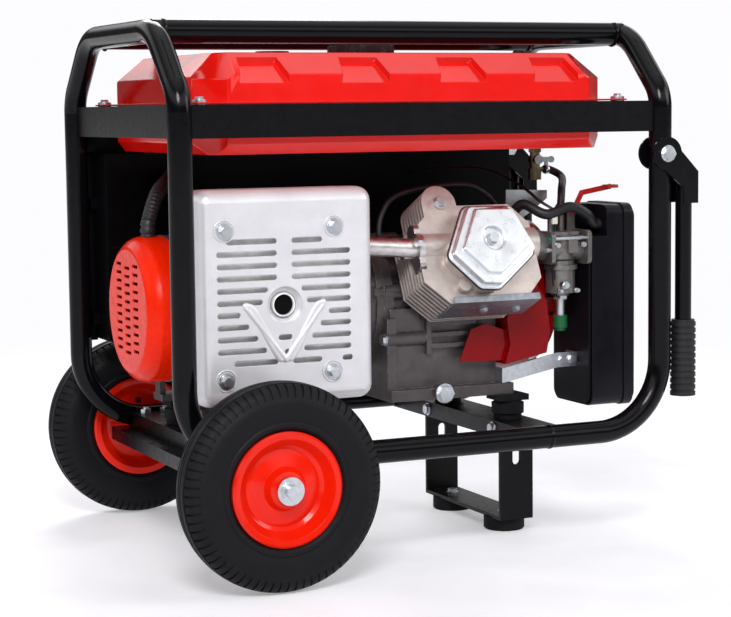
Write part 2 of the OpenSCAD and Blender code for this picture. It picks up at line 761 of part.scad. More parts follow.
// finned barrel between the crankcase and the head
module cylinder_barrel() color("#a39c97") cylinder_frame() difference() {
  union() {
    translate([0, 0, deck_s]) cylinder(h = joint_s - deck_s, r = bore_r + 12);
    translate([0, 0, deck_s]) linear_extrude(7) round_rect(124, 124, 12);
    for (i = [0 : 4]) translate([0, 0, deck_s + 8.5 + i * fin_pitch]) linear_extrude(fin_t) fin();
    for (x = [-1, 1], y = [-1, 1]) translate([x * 46, y * 46, deck_s]) cylinder(h = joint_s - deck_s, r = 10);
  }
  translate([0, 0, deck_s - 1]) cylinder(h = joint_s - deck_s + 2, r = bore_r);
}

// corners of the valve cover, seen along the cylinder
cover_corners = [[-27, 51], [41, 50], [67, -16], [3, -65], [-25, -63], [-64, -18]];

module cover_shape(grow) offset(r = 13 + grow) offset(delta = -13) polygon(cover_corners);

exhaust_t = 8;
port_r = 13;

// head casting: fins with lobes, the rocker box and the two ports
module cylinder_head() color("#b9b1ab") cylinder_frame() difference() {
  union() {
    translate([0, 0, joint_s + 0.5]) linear_extrude(7) round_rect(130, 124, 12);
    for (i = [0 : 3]) translate([0, 0, joint_s + 1 + i * fin_pitch]) linear_extrude(fin_t) fin();
    translate([lobe_x, lobe_t, joint_s + 0.5]) cylinder(h = 3 * fin_pitch + 6, r = 9);
    translate([0, 0, joint_s + 0.5]) cylinder(h = 28, r = bore_r + 10);
    // rocker box
    translate([0, 0, joint_s + 14]) linear_extrude(cover_s - joint_s - 14) cover_shape(-2);
    // port bosses: exhaust to the left, intake to the right
    translate([-fin_left + 8, exhaust_t, joint_s + 18]) bar_x(0, 60, 19);
    translate([0, exhaust_t, joint_s + 18]) bar_x(40, 84, 22);
    // plug boss low on the left
    translate([-40, -52, joint_s + 14]) cylinder(h = 26, r = 9);
  }
  // flat joint face
  translate([-150, -150, joint_s - 50]) cube([300, 300, 50.5]);
  // room for the exhaust flange, and the bolts' threads
  translate([-fin_left - 1, exhaust_t, joint_s + 18]) bar_x(0, 9, 34);
  translate([0, 0, cover_s - 8]) cylinder(h = 9, r = 4);
  translate([lobe_x, lobe_t, joint_s + 3 * fin_pitch + 1]) cylinder(h = 8, r = 4);
  translate([-fin_left + 8, exhaust_t, joint_s + 18]) bar_x(-1, 40, port_r);
  translate([0, exhaust_t, joint_s + 18]) bar_x(60, 85, port_r);
}

// pressed valve cover: rim, plateau and a sunken washer seat
module head_cover() color("#cfd3d8") cylinder_frame() translate([0, 0, cover_s]) difference() {
  union() {
    linear_extrude(4) cover_shape(0);
    linear_extrude(cover_depth - 6) cover_shape(-4);
    translate([2, 3, 0]) linear_extrude(cover_depth) cover_shape(-13);
  }
  translate([0, 0, cover_depth - 7]) cylinder(h = 8, r = 16);
  translate([0, 0, -1]) linear_extrude(cover_depth - 10) cover_shape(-8);
  translate([0, 0, -1]) cylinder(h = cover_depth, r = 4.2);
}

plate_s = joint_s + 8;

// folded air deflector below the head
module deflector_plate() color("#b4bac0") cylinder_frame() difference() {
  union() {
    translate([-fin_left + 34, -fin_low - 2.2, plate_s - 30]) cube([fin_right + fin_left - 46, 2, 58]);
    translate([-fin_left + 34, -fin_low - 2.2, plate_s + 26]) cube([fin_right + fin_left - 46, 9, 2]);
  }
  for (x = [-2, 46]) translate([x, -fin_low, plate_s - 4]) rotate([90, 0, 0]) cylinder(h = 6, r = 3, center = true);
}

// height of the fan duct's lid over the crank axis
duct_top = 100;

// cable from the plug's cap, up over the lobes and down into the fan duct
module spark_plug_lead() color("#151516") placed() {
  plug = [cyl_x - fin_left, crank_y - 98, crank_z + 82];
  lead_end = [shroud_x0 + 11, crank_y - 64, crank_z + duct_top + 0.3];
  rod(plug + [-0.3, 0, 0], plug + [-20, 0, 0], 8);
  hose(smooth([plug + [-19, 0, 0], plug + [-29, 1, 9], plug + [-23, 5, 36], [cyl_x - 93, crank_y - 88, crank_z + 141],
    [cyl_x - 39, crank_y - 84, crank_z + 152], [cyl_x + 23, crank_y - 80, crank_z + 152],
    lead_end + [-2, -2, 26], lead_end + [0, 0, 5], lead_end], 3), 3.8);
}

pipe_r = 12.5;
port = [cyl_x - fin_left + 8, crank_y - cos(cyl_tilt) * (joint_s + 18) + sin(cyl_tilt) * exhaust_t,
  crank_z + sin(cyl_tilt) * (joint_s + 18) + cos(cyl_tilt) * exhaust_t];
muffler_x1 = shield_x + shield_l / 2 - 5;
pipe_start = [muffler_x1 + 4.2, port.y + 18, port.z + 6];

// exhaust pipe with its flange, from the head's port into the muffler
module exhaust_pipe() color("#b3aca6") placed() difference() {
  union() {
    pipe_between(pipe_start, port, pipe_r);
    translate(port) rotate([90 - cyl_tilt, 0, 0]) rotate([0, -90, 0]) linear_extrude(8) {
      circle(r = 20);
      round_rect(22, 62, 9);
    }
  }
  pipe_between(pipe_start - [1, 0, 0], port + [1, 0, 0], pipe_r - 2);
}

// ---------- muffler and heat shield ----------

// box with every edge in front rounded by r, its back left square;
// length along X, height along Z, the front at y = 0 and the back at y = d
module pillow(l, h, d, r) hull() for (x = [-1, 1], z = [-1, 1]) {
  translate([x * (l / 2 - r), r, z * (h / 2 - r)]) sphere(r = r, $fn = 28);
  translate([x * (l / 2 - r), d, z * (h / 2 - r)]) rotate([90, 0, 0]) cylinder(h = 1, r = r, $fn = 28);
}

shield_mid_z = shield_z + shield_h / 2;
outlet_x = -5;
outlet_z = -10;
shell_gap = 5;
muffler_front = 13;

module shield_frame() placed() translate([shield_x, -shield_y, shield_mid_z]) children();

shield_bolts = [[-84, 84], [62, 86], [58, -96], [-84, -100]];

// muffler drum behind the shield, with its outlet and bolt bosses
module muffler() color("#a9a9aa") {
  shield_frame() difference() {
    union() {
      difference() {
        muffler_shell(0);
        muffler_shell(1.5);
      }
      // seam flange where the two pressed halves meet
      rim_flange();
      translate([outlet_x, 0, outlet_z]) bar_y(4, 60, outlet_r + 2);
      for (b = shield_bolts) translate([b.x, 0, b.y]) bar_y(shield_t + 0.3, 30, 9);
    }
    translate([outlet_x, 0, outlet_z]) bar_y(3, 58, outlet_r);
    for (b = shield_bolts) translate([b.x, 0, b.y]) bar_y(-1, 20, 3.2);
  }
  // brackets from the drum's back to the stator
  placed() difference() {
    for (z = [-30, 18]) block([shield_x - 40, -shield_y + muffler_depth, crank_z + z], [shield_x + 40, crank_y - 40, crank_z + z + 12]);
    translate([0, crank_y, crank_z]) bar_x(-400, 0, stator_r);
  }
}

// the drum's outer shape, set in by t
module muffler_shell(t) translate([0, muffler_depth - t, 0]) rotate([90, 0, 0])
  linear_extrude(muffler_depth - muffler_front - 2 * t)
    round_rect(shield_l - 2 * (shell_gap + t), shield_h - 2 * (shell_gap + t), 24 - t);

module rim_flange() translate([0, muffler_depth - 26, 0]) rotate([90, 0, 0]) linear_extrude(3) difference() {
  round_rect(shield_l - 2 * shell_gap + 8, shield_h - 2 * shell_gap + 8, 26);
  round_rect(shield_l - 2 * shell_gap - 1, shield_h - 2 * shell_gap - 1, 23);
}

slot_out = shield_l / 2 - 29;
slot_gap = 10;

// where a slot row starts, clear of the outlet's dish and of the raised V
function slot_start(z) = let(
    dz = abs(z - outlet_z), dish = dz < 30 ? sqrt(30 * 30 - dz * dz) : 0,
    vee = (z < outlet_z - 2 && z > -78) ? 15 + (z + 78) * 0.76 : 0)
  max(slot_gap, dish, vee);

// where a slot row ends: the first and the last stop short of the bolts
function slot_stop(z, side) = slot_out - (z > 60 ? (side > 0 ? 38 : 13) : z < -70 ? (side > 0 ? 40 : 21) : 0);

module slot(x0, x1, z) translate([0, shield_t + 1, z]) rotate([90, 0, 0]) linear_extrude(shield_t + 2) {
  translate([x0 + slot_h / 2, 0]) circle(r = slot_h / 2);
  translate([x1 - slot_h / 2, 0]) circle(r = slot_h / 2);
  translate([x0 + slot_h / 2, -slot_h / 2]) square([x1 - x0 - slot_h, slot_h]);
}

// pressed heat shield: folded edges, slot rows, dished outlet, raised V
module heat_shield() color("#d9dadc") shield_frame() {
  difference() {
    pillow(shield_l, shield_h, shield_depth, shield_r);
    translate([0, shield_t, 0]) pillow(shield_l - 2 * shield_t, shield_h - 2 * shield_t, shield_depth, shield_r - shield_t);
    for (i = [0 : slot_rows - 1], side = [-1, 1]) {
      z = 70 - i * slot_pitch;
      a = outlet_x + side * slot_start(z);
      b = outlet_x + side * slot_stop(z, side);
      slot(min(a, b), max(a, b), z);
    }
    slot(72, 86, -80);
    slot(outlet_x - 9, outlet_x + 9, outlet_z - 40);
    translate([outlet_x + 2, 0, outlet_z - 58]) bar_y(-1, 3, 3);
    translate([outlet_x, 0, outlet_z]) bar_y(-1, 4, 23);
    for (b = shield_bolts) translate([b.x, 0, b.y]) bar_y(-1, 4, 3.4);
    // notched left flange
    for (i = [0 : 8]) translate([-shield_l / 2 - 1, shield_depth - 8, -108 + i * 26]) cube([4, 12, 8]);
  }
  // dish round the outlet
  translate([outlet_x, 0, outlet_z]) rotate([-90, 0, 0]) rotate_extrude()
    polygon([[25, 0], [25, shield_t], [21, 5], [outlet_r + 4, 9], [outlet_r + 4, 7.4], [20, 3.8]]);
  // raised V below it
  for (side = [-1, 1]) {
    rod([outlet_x + side * 50, 1, -13], [outlet_x, 1, -78], 3.4);
    translate([outlet_x + side * 50, 1, -13]) sphere(r = 3.4);
  }
  translate([outlet_x, 1, -78]) sphere(r = 3.4);
}

// shield bolts, cover bolt, exhaust nuts, drain plug and the small hardware
module engine_fasteners() color("#c4c8cc") {
  shield_frame() for (b = shield_bolts) translate([b.x, 0, b.y]) rotate([90, 0, 0]) bolt(6, 14, 5);
  cylinder_frame() {
    translate([0, 0, cover_s + cover_depth - 7]) bolt(8, 20, 8);
    translate([lobe_x, lobe_t, joint_s + 3 * fin_pitch + 6.5]) bolt(8, 5, 6);
    for (x = [-2, 46]) translate([x, -fin_low - 2.2, plate_s - 4]) rotate([90, 0, 0]) bolt(6, 2, 4);
  }
  placed() {
    translate(port + [-8, 0, 0]) rotate([90 - cyl_tilt, 0, 0]) for (z = [-23, 23])
      translate([0, 0, z]) rotate([0, -90, 0]) nut(8);
    translate([70, crank_y - case_near - 22, base_z + 8.5]) rotate([90, 0, 0]) bolt(12, 6, 9);
    translate([case_x0, crank_y - case_near + 2, crank_z - 48]) rotate([0, -90, 0]) bolt(8, 5, 6);
    for (x = [7, 22]) translate([strap_x1 + x, strap_y - strap_t, strap_z1]) rotate([90, 0, 0]) bolt(6, 1, 4);
  }
}

// ---------- carburettor and air cleaner ----------

throat_r = 12;
carb_len = cleaner_x - carb_x;
head_port = [cyl_x + 84, crank_y - cos(cyl_tilt) * (joint_s + 18) + sin(cyl_tilt) * exhaust_t,
  crank_z + sin(cyl_tilt) * (joint_s + 18) + cos(cyl_tilt) * exhaust_t];
choke_pivot = [carb_x + 25, carb_y + 8, carb_z + 50];

module carb_frame() placed() translate([carb_x, carb_y, carb_z]) children();

// carburettor: throat, flanges, float bowl and the spacer to the head
module carburettor() color("#9a958f") {
  carb_frame() difference() {
    union() {
      bar_x(-28, carb_len - 6, throat_r + 7);
      translate([-28, 0, 0]) rotate([90, 0, 90]) linear_extrude(6) round_rect(54, 44, 8);
      translate([carb_len - 6, 0, 0]) rotate([90, 0, 90]) linear_extrude(6) round_rect(60, 46, 8);
      translate([0, 0, -24]) cylinder(h = 44, r = 19);
      translate([0, 0, -62]) cylinder(h = 36, r = 20);
      translate([0, 0, -30]) cylinder(h = 6, r = 23);
      translate([0, 0, -66]) cylinder(h = 6, r = 12);
      translate([6, -20, 4]) cube([14, 10, 22], center = true);
      translate([0, 0, 16]) linear_extrude(5) round_rect(46, 36, 6);
      // spindle of the throttle and the choke's bracket
      translate([-12, 6, 0]) cylinder(h = 40, r = 4);
      block([choke_pivot.x - carb_x - 7, choke_pivot.y - carb_y + 4, 12], [choke_pivot.x - carb_x + 5, choke_pivot.y - carb_y + 8, 58]);
      // petrol inlet
      rod(inlet - [carb_x, carb_y, carb_z] + [0, 0, -0.5], [inlet.x - carb_x, inlet.y - carb_y, 10], 5.4);
    }
    bar_x(-29, carb_len + 1, throat_r);
    translate([0, choke_pivot.y - carb_y, choke_pivot.z - carb_z])
      translate([choke_pivot.x - carb_x, 0, 0]) bar_y(-20, 20, 2.5 + run);
  }
  // intake spacer from the head's port
  placed() difference() {
    pipe_between(head_port, [carb_x - 27, carb_y, carb_z], throat_r + 6);
    pipe_between(head_port - [1, 0, 0], [carb_x - 26, carb_y, carb_z], throat_r);
  }
}

// fuel cut-off solenoid with its plug, under the float bowl
module fuel_solenoid() color("#c2c6c8") carb_frame() {
  translate([0, 0, -93]) cylinder(h = 27, r = 6.5);
  translate([0, 0, -71]) cylinder(h = 5, r = 10, $fn = 6);
  translate([0, 0, -110]) cylinder(h = 17, r = 9.5);
  translate([0, 0, -114]) cylinder(h = 5, r = 7);
}

// pale bracket above the fan duct, beside the carburettor
module throttle_plate() color("#c3c5c6") placed() translate([0, crank_y - 74, 0]) rotate([90, 0, 0]) linear_extrude(2)
  polygon([[shroud_x0 + 22, crank_z + duct_top + 0.2], [shroud_x0 + 38, crank_z + duct_top + 0.2],
    [shroud_x0 + 53, carb_z + 41], [carb_x + 8, carb_z + 64], [carb_x + 8, carb_z + 75], [shroud_x0 + 22, carb_z + 77]]);

// choke lever: pressed plate on its spindle, with a thumb tab
module choke_lever() color("#b01f1c") placed() translate(choke_pivot) {
  bar_y(-4, 8.5, 2.5);
  bar_y(-3, -1, 7);
  rotate([90, 0, 0]) translate([0, 0, 1]) linear_extrude(2)
    polygon([[-3.1, 1.7], [9.7, 25.2], [57.4, 33.2], [58.6, 26.3], [14.3, 18.8], [3.1, -1.7]]);
  block([49, -9, 27.5], [66, 5, 32]);
}

cleaner_seam = 52;
recess_l = 26;
recess_h = 42;
recess_d = 52;
hose_end = [cleaner_x + recess_l - 1.4, -cleaner_y + 18, cleaner_z + cleaner_h - 26];

module cleaner_frame() placed() translate([cleaner_x, -cleaner_y, cleaner_z]) children();

// outline of the air cleaner seen along the frame
module cleaner_shape(inset, r) translate([cleaner_w / 2, cleaner_h / 2])
  round_rect(cleaner_w - 2 * inset, cleaner_h - 2 * inset, r);

module along_x(h) rotate([90, 0, 90]) linear_extrude(h) children();

// moulded air-cleaner body with a recess for the breather hose
module air_cleaner_case() color("#242127") cleaner_frame() difference() {
  union() {
    difference() {
      union() {
        translate([3, 0, 0]) along_x(cleaner_seam - 3) cleaner_shape(0, 14);
        along_x(6) cleaner_shape(4, 12);
      }
      translate([3, 0, 0]) along_x(cleaner_seam) cleaner_shape(3, 11);
    }
    intersection() {
      block([0, 0, cleaner_h - recess_h - 3], [recess_l + 3, recess_d + 3, cleaner_h]);
      along_x(cleaner_seam) cleaner_shape(0, 14);
    }
  }
  block([-1, -1, cleaner_h - recess_h], [recess_l, recess_d, cleaner_h + 1]);
  // intake from the carburettor and the hose's spigot
  translate([0, cleaner_y + carb_y, carb_z - cleaner_z]) bar_x(-1, 5, throat_r);
  translate([0, hose_end.y + cleaner_y, hose_end.z - cleaner_z]) bar_x(recess_l - 1, recess_l + 5, 4);
}

// outer lid of the air cleaner, a little larger than the body
module air_cleaner_cover() color("#242127") cleaner_frame() difference() {
  union() {
    translate([cleaner_seam, 0, 0]) along_x(cleaner_t - cleaner_seam - 6) cleaner_shape(-1.5, 15);
    translate([cleaner_seam, 0, 0]) along_x(cleaner_t - cleaner_seam) cleaner_shape(5, 12);
  }
  translate([cleaner_seam - 1, 0, 0]) along_x(cleaner_t - cleaner_seam - 2) cleaner_shape(8, 8);
}

hose_r = 7;

// moulded breather hose from the rocker box to the air cleaner
module breather_hose() color("#19191b") placed() {
  start = [shroud_x0 + 20, crank_y - 98, crank_z + duct_top + 0.7];
  hose(smooth([
    start, start + [0, 0, 5], start + [1, -3, 16], start + [10, -14, 26], [carb_x - 26, hose_end.y, carb_z + 45],
    [carb_x + 10, hose_end.y - 1, carb_z + 54], [cleaner_x + 6, hose_end.y, carb_z + 42], hose_end - [9, 0, 0], hose_end
  ], 3), hose_r, [0.1, 1, 0.4], 12);
}

// ---------- fan, starter and shroud ----------

shroud_x0 = case_x1;
shroud_x1 = shroud_x0 + 62;
shroud_r = 112;
shroud_t = 2;
wheel_face = shroud_x0 + 24;
fan_r = 96;

// outline of the lower scoop seen from the near side
scoop_pts = [[-1, -26], [32, 38], [60, -4], [66, -46], [60, -76], [-4, -88], [4, -62]];
scoop_y = 120;

// fan housing with the duct to the head and the guides below the barrel
module fan_shroud() color("#a5161a") crank_frame() difference() {
  union() {
    bar_x(shroud_x0, shroud_x1, shroud_r);
    block([shroud_x0, -118, 40], [shroud_x0 + 40, 10, duct_top]);
    // scoop beside the barrel, and the guide under its fins
    translate([shroud_x0, -60, 0]) rotate([90, 0, 0]) linear_extrude(scoop_y - 60) polygon(scoop_pts);
    translate([0, -scoop_y + 10, 0]) rotate([90, 0, 0]) linear_extrude(shroud_t)
      polygon([[case_x1 - 52, -39], [case_x1 - 30, -32], [shroud_x0 + 4, -44], [shroud_x0 + 4, -84], [case_x1 - 69, -82]]);
  }
  bar_x(shroud_x0 + shroud_t, shroud_x1 + 1, shroud_r - shroud_t);
  bar_x(shroud_x0 - 1, shroud_x1, 70);
  block([shroud_x0 + 2, -116, 42], [shroud_x0 + 38, 8, duct_top - 2]);
  block([shroud_x0 - 1, -112, 46], [shroud_x0 + 10, -30, duct_top - 4]);
  // inside of the scoop
  translate([shroud_x0 + 2, -50, -2]) rotate([90, 0, 0]) linear_extrude(scoop_y - 52)
    translate([32, -22]) scale(0.92) translate([-32, 22]) polygon(scoop_pts);
  // clear of the crankcase's foot, of the barrel's fins and of the starter
  block([case_x0, -200, base_z - crank_z], [case_x1 + 13.5, 200, base_z - crank_z + flange_h + 0.5]);
  translate([cyl_x, 0, 0]) rotate([90 - cyl_tilt, 0, 0]) translate([0, 0, deck_s - 2])
    linear_extrude(cover_s - deck_s) fin_shape(1);
  bar_x(shroud_x1, shroud_x1 + 60, recoil_r + 6);
  translate([cyl_x, 0, 0]) rotate([90 - cyl_tilt, 0, 0]) translate([-62.5, -62.5, 0]) cube([125, 125, deck_s]);
  translate([0, -crank_y, -crank_z]) pipe_between(head_port, [carb_x - 27, carb_y, carb_z], throat_r + 8);
}

recoil_l = 34;
recoil_r = 100;
starter_y = 62;
starter_z = 58;

// recoil-starter housing: slotted dome with the rope's guide
module recoil_cover() color("#a5161a") crank_frame() translate([shroud_x1, 0, 0]) difference() {
  union() {
    bar_x(0, 5, recoil_r + 4);
    bar_x(0, recoil_l - 6, recoil_r);
    bar_x(0, recoil_l, recoil_r - 14);
    translate([0, starter_y, starter_z]) bar_x(recoil_l - 12, recoil_l + 4, 10);
  }
  bar_x(-1, recoil_l - 8, recoil_r - 2.5);
  bar_x(-1, recoil_l - 2.5, recoil_r - 18);
  for (i = [0 : 17]) rotate([i * 20, 0, 0]) for (r = [34, 60])
    if (!(i > 14 && i < 17 && r > 50)) translate([0, -2.5, r]) cube([recoil_l + 1, 5, 20]);
  for (i = [0 : 23]) rotate([i * 15, 0, 0]) translate([8, -3, recoil_r - 6]) cube([14, 6, 12]);
  translate([0, starter_y, starter_z]) bar_x(recoil_l - 13, recoil_l + 5, 4);
}

// starter grip with the rope's end in its guide
module recoil_handle() color("#1c1c1e") crank_frame() translate([shroud_x1 + recoil_l + 4, starter_y, starter_z]) {
  bar_x(-12, 6, 3);
  difference() {
    translate([gap, 0, 0]) along_x(16) round_rect(96, 22, 10);
    for (y = [-1, 1]) translate([7, y * 30, -13]) rotate([0, 0, 0]) cylinder(h = 26, r = 6);
  }
}

// flywheel with its ring of fan blades
module flywheel() color("#5d5f62") crank_frame() difference() {
  union() {
    bar_x(wheel_face, wheel_face + 8, fan_r - 14);
    bar_x(wheel_face, wheel_face + 22, 60);
    bar_x(wheel_face + 8, wheel_face + 30, fan_r - 40);
    for (i = [0 : 15]) rotate([i * 22.5, 0, 0]) translate([wheel_face + 6, -1.5, fan_r - 44])
      cube([26, 3, 40]);
  }
  bar_x(wheel_face - 1, wheel_face + 40, journal_r - 3);
}

// crankshaft: journals, webs and crankpin, long taper end for the rotor
crank_x0 = end_x + end_depth + 6;
module crankshaft() color("#8e9194") crank_frame() {
  bar_x(case_x0 - 50, cyl_x - 22, journal_r);
  bar_x(cyl_x + 22, case_x1 + 8, journal_r);
  bar_x(case_x1 + 7, wheel_face + 42, journal_r - 3);
  bar_x(crank_x0, case_x0 - 49, journal_r - 4);
  bar_x(wheel_face + 30.5, wheel_face + 40, journal_r + 2);
  for (x = [cyl_x - 30, cyl_x + 17]) bar_x(x, x + 13, web_r);
  translate([0, -crank_throw + 4, 0]) bar_x(cyl_x - 20, cyl_x + 20, 18);
}

// ---------- alternator ----------

stator_x0 = -262;
stator_x1 = -132;
rotor_r = 62;
winding_l = 24;

module alt_ring(x0, x1, r_out, r_in) difference() {
  bar_x(x0, x1, r_out);
  bar_x(x0 - 1, x1 + 1, r_in);
}

// stator: pressed stack of laminations, fluted outside
module stator() color("#6f7276") crank_frame() difference() {
  alt_ring(stator_x0, stator_x1, stator_r, stator_r - 6);
  // cooling flutes outside
  for (i = [0 : 11]) rotate([i * 30 + 15, 0, 0]) translate([stator_x0 - 1, -5, stator_r - 3])
    cube([stator_x1 - stator_x0 + 2, 10, 6]);
}

// copper windings, proud of the slotted core at both ends
module stator_windings() color("#8a4a26") crank_frame() {
  alt_ring(stator_x0 + winding_l, stator_x1 - winding_l, stator_r - 6, rotor_r + air_gap);
  for (x = [stator_x0 + 3, stator_x1 - winding_l - eps])
    alt_ring(x, x + winding_l - 3 + eps, stator_r - 12, rotor_r + 6);
}

// rotor core on the shaft with its fan
module rotor() color("#6c6e72") crank_frame() difference() {
  union() {
    bar_x(stator_x0 + winding_l, stator_x1 - winding_l, rotor_r);
    bar_x(stator_x0 + 12, stator_x1 + 6, journal_r + 8);
    bar_x(stator_x1 + 6, stator_x1 + 10, rotor_r + 12);
    for (i = [0 : 11]) rotate([i * 30, 0, 0]) translate([stator_x1 + 9, -1, 36]) cube([12, 2, 36]);
  }
  bar_x(stator_x0 - 10, stator_x1 + 20, journal_r - 4);
}

// engine-side housing of the alternator, with its air outlets
module alternator_housing() color("#9b9894") crank_frame() difference() {
  union() {
    bar_x(stator_x1, stator_x1 + 16, stator_r + 4);
    bar_x(stator_x1, case_x0 - 8, stator_r - 10);
    bar_x(case_x0 - 10, case_x0, case_r + 8);
    for (a = [20 : 60 : 340]) rotate([a, 0, 0]) translate([0, 0, case_r]) bar_x(case_x0 - 14, case_x0, 9);
  }
  bar_x(stator_x1 - 1, case_x0 - 20, stator_r - 16);
  bar_x(case_x0 - 21, case_x0 + 1, journal_r + 6);
  for (i = [0 : 5]) rotate([i * 60 + 210, 0, 0]) translate([stator_x1 + 30, -24, stator_r - 30]) cube([60, 48, 40]);
}

foot_w = 44;

// bearing bracket at the alternator's free end, with its feet
module end_bracket() color("#b3b0ab") crank_frame() difference() {
  union() {
    alt_ring(end_x + end_depth, stator_x0, stator_r - 2, stator_r - 9);
    bar_x(end_x + end_depth, end_x + end_depth + 12, 30);
    for (i = [0 : 5]) rotate([i * 60, 0, 0]) block([end_x + end_depth, -8, 20], [end_x + end_depth + 7, 8, stator_r - 5]);
    for (y = [-1, 1]) translate([0, y * alt_mount_y - crank_y, 0])
      block([stator_x0 - 8, -18, base_z - crank_z], [alt_channel_x + foot_w / 2, 18, base_z - crank_z + 9]);
    for (y = [-1, 1]) translate([0, y * alt_mount_y - crank_y, 0])
      block([stator_x0 - 8, -9, base_z - crank_z], [stator_x0, 9, -36]);
  }
  bar_x(end_x + end_depth - 1, end_x + end_depth + 20, journal_r - 4 + run);
  // the feet stay clear of the stator
  bar_x(stator_x0, stator_x1, stator_r);
}

slot_cols = 3;
slot_lines = 11;

// moulded end cover with three columns of short slots
module end_cover() color("#ee3c1e") crank_frame() difference() {
  union() {
    rotate([0, 90, 0]) rotate_extrude()
      polygon([[0, end_x], [end_r - 14, end_x], [end_r - 4, end_x + 9], [end_r, end_x + 18],
        [end_r, end_x + end_depth], [0, end_x + end_depth]]);
  }
  rotate([0, 90, 0]) rotate_extrude()
    polygon([[0, end_x + 3], [end_r - 16, end_x + 3], [end_r - 7, end_x + 11], [end_r - 3, end_x + 19],
      [end_r - 3, end_x + end_depth + 1], [0, end_x + end_depth + 1]]);
  for (i = [0 : slot_lines - 1], j = [-1 : 1])
    translate([end_x - 1, j * 34 - 11, (i - (slot_lines - 1) / 2) * 11 - 2 + j * j * 4])
      cube([5, 22, 4]);
}

conduit_start = [end_x + 30, crank_y, crank_z + end_r + 0.5];

// corrugated conduit from the end cover to the control box
module wiring_conduit() color("#1a1a1b") placed() hose(smooth([
  conduit_start, conduit_start + [0, 0, 6], conduit_start + [1, 1, 16], [end_x + 52, crank_y + 26, conduit_start.z + 52],
  [end_x + 92, box_y0 - 50, conduit_start.z + 70], conduit_end - [0, 14, 0], conduit_end - [0, 5, 0], conduit_end
], 4), 10, [1, -0.4, 0], 12);

// ---------- control box ----------

box_x = post_x - cheek_r - 1;
box_top = tank_under - 3;
box_y1 = post_y + 5;
box_y0 = box_y1 - box_d;
conduit_end = [end_x + 110, box_y0 - 0.3, conduit_start.z + 72];

module box_frame() placed() translate([0, box_y1, box_top - box_h]) children();

// sheet box behind the control face, between the far posts
module control_box() color("#1b191d") placed() difference() {
  union() {
    block([-box_x, box_y0, box_top - box_h], [box_x, box_y1, box_top]);
    // tabs to the posts
    for (side = [-1, 1], z = [20, 180]) translate([side * box_x, box_y1 - 20, box_top - box_h + z])
      block([side < 0 ? box_x - post_x + tube_r : 0, 0, 0], [side < 0 ? 0 : post_x - tube_r - box_x, 12, 16]);
  }
  block([-box_x + box_t, box_y0 + box_t, box_top - box_h + box_t], [box_x - box_t, box_y1 + 1, box_top - box_t]);
  translate([conduit_end.x, 0, conduit_end.z]) bar_y(box_y0 - 1, box_y0 + box_t + 1, 7);
}

face_t = 3;
key_p = [-250, 196];
breaker_p = [-170, 196];
meter_p = [-60, 196];
socket_p = [[-180, 92], [-70, 92]];
post_p = [[60, 92], [92, 92], [140, 92]];

// control face, moulded panel with its openings
module control_face() color("#2a2a2d") box_frame() difference() {
  union() {
    block([-box_x, 0, 0], [box_x, face_t, box_h]);
    block([-box_x + 18, 0, 14], [box_x - 18, face_t + 3, box_h - 14]);
  }
  block([-box_x + 22, -1, 18], [box_x - 22, 3, box_h - 18]);
  for (p = socket_p) translate([p.x, 0, p.y]) bar_y(-1, 10, 24);
  translate([key_p.x, 0, key_p.y]) bar_y(-1, 10, 11);
  translate([breaker_p.x, 0, breaker_p.y]) block([-12, -1, -18], [12, 10, 18]);
  translate([meter_p.x, 0, meter_p.y]) block([-30, -1, -25], [30, 10, 25]);
  for (p = post_p) translate([p.x, 0, p.y]) bar_y(-1, 10, 6);
}

face_y = face_t + 3;

// sockets, voltmeter, lock barrel, breaker body and terminals
module panel_fittings() color("#3a3b3f") box_frame() {
  for (p = socket_p) translate([p.x, 0, p.y]) difference() {
    union() {
      bar_y(-18, face_y, 24 - 0.1);
      bar_y(face_y, face_y + 6, 29);
    }
    bar_y(face_y - 8, face_y + 7, 20);
    for (a = [0, 120, 240]) rotate([0, a, 0]) translate([0, 0, 10]) bar_y(face_y - 20, face_y, 2.6);
  }
  translate([key_p.x, 0, key_p.y]) difference() {
    union() {
      bar_y(-20, face_y, 11 - 0.1);
      bar_y(face_y, face_y + 3, 16);
    }
    bar_y(-10, face_y + 4, 6 + run);
  }
  translate([breaker_p.x, 0, breaker_p.y]) difference() {
    block([-11.9, -30, -17.9], [11.9, face_y + 2, 17.9]);
    block([-6, -12, -12], [6, face_y + 3, 12]);
  }
  translate([meter_p.x, 0, meter_p.y]) difference() {
    union() {
      block([-29.9, -16, -24.9], [29.9, face_y, 24.9]);
      block([-33, face_y, -28], [33, face_y + 4, 28]);
    }
    block([-27, face_y + 2, -16], [27, face_y + 5, 22]);
  }
  for (p = post_p) translate([p.x, 0, p.y]) {
    bar_y(-12, face_y, 5.9);
    bar_y(face_y, face_y + 12, 9);
  }
}

// key in its lock barrel
module key_switch() color("#b9bcbf") box_frame() translate([key_p.x, 0, key_p.y]) {
  bar_y(-9, face_y + 4, 6);
  block([-1.5, face_y + 3, -9], [1.5, face_y + 22, 9]);
}

// rocker of the circuit breaker on its cross pin
module breaker_lever() color("#1a1a1c") box_frame() translate([breaker_p.x, 0, breaker_p.y]) {
  bar_x(-5.6, 5.6, 4);
  rotate([14, 0, 0]) block([-5, 0, -3], [5, face_y + 9, 3]);
}

strap_t = 2;
strap_y = crank_y - case_near - 17;
strap_x0 = case_x1 - 4;
strap_x1 = cleaner_x - 30;
strap_z0 = base_z + 26;
strap_z1 = base_z + 42;
strap_h = 20;

// zinc-plated strap from the crankcase to the air cleaner
module support_strap() color("#b8c2c8") placed() difference() {
  strap();
  for (x = [7, 22]) translate([strap_x1 + x, strap_y, strap_z1]) bar_y(-5, 5, 3);
}

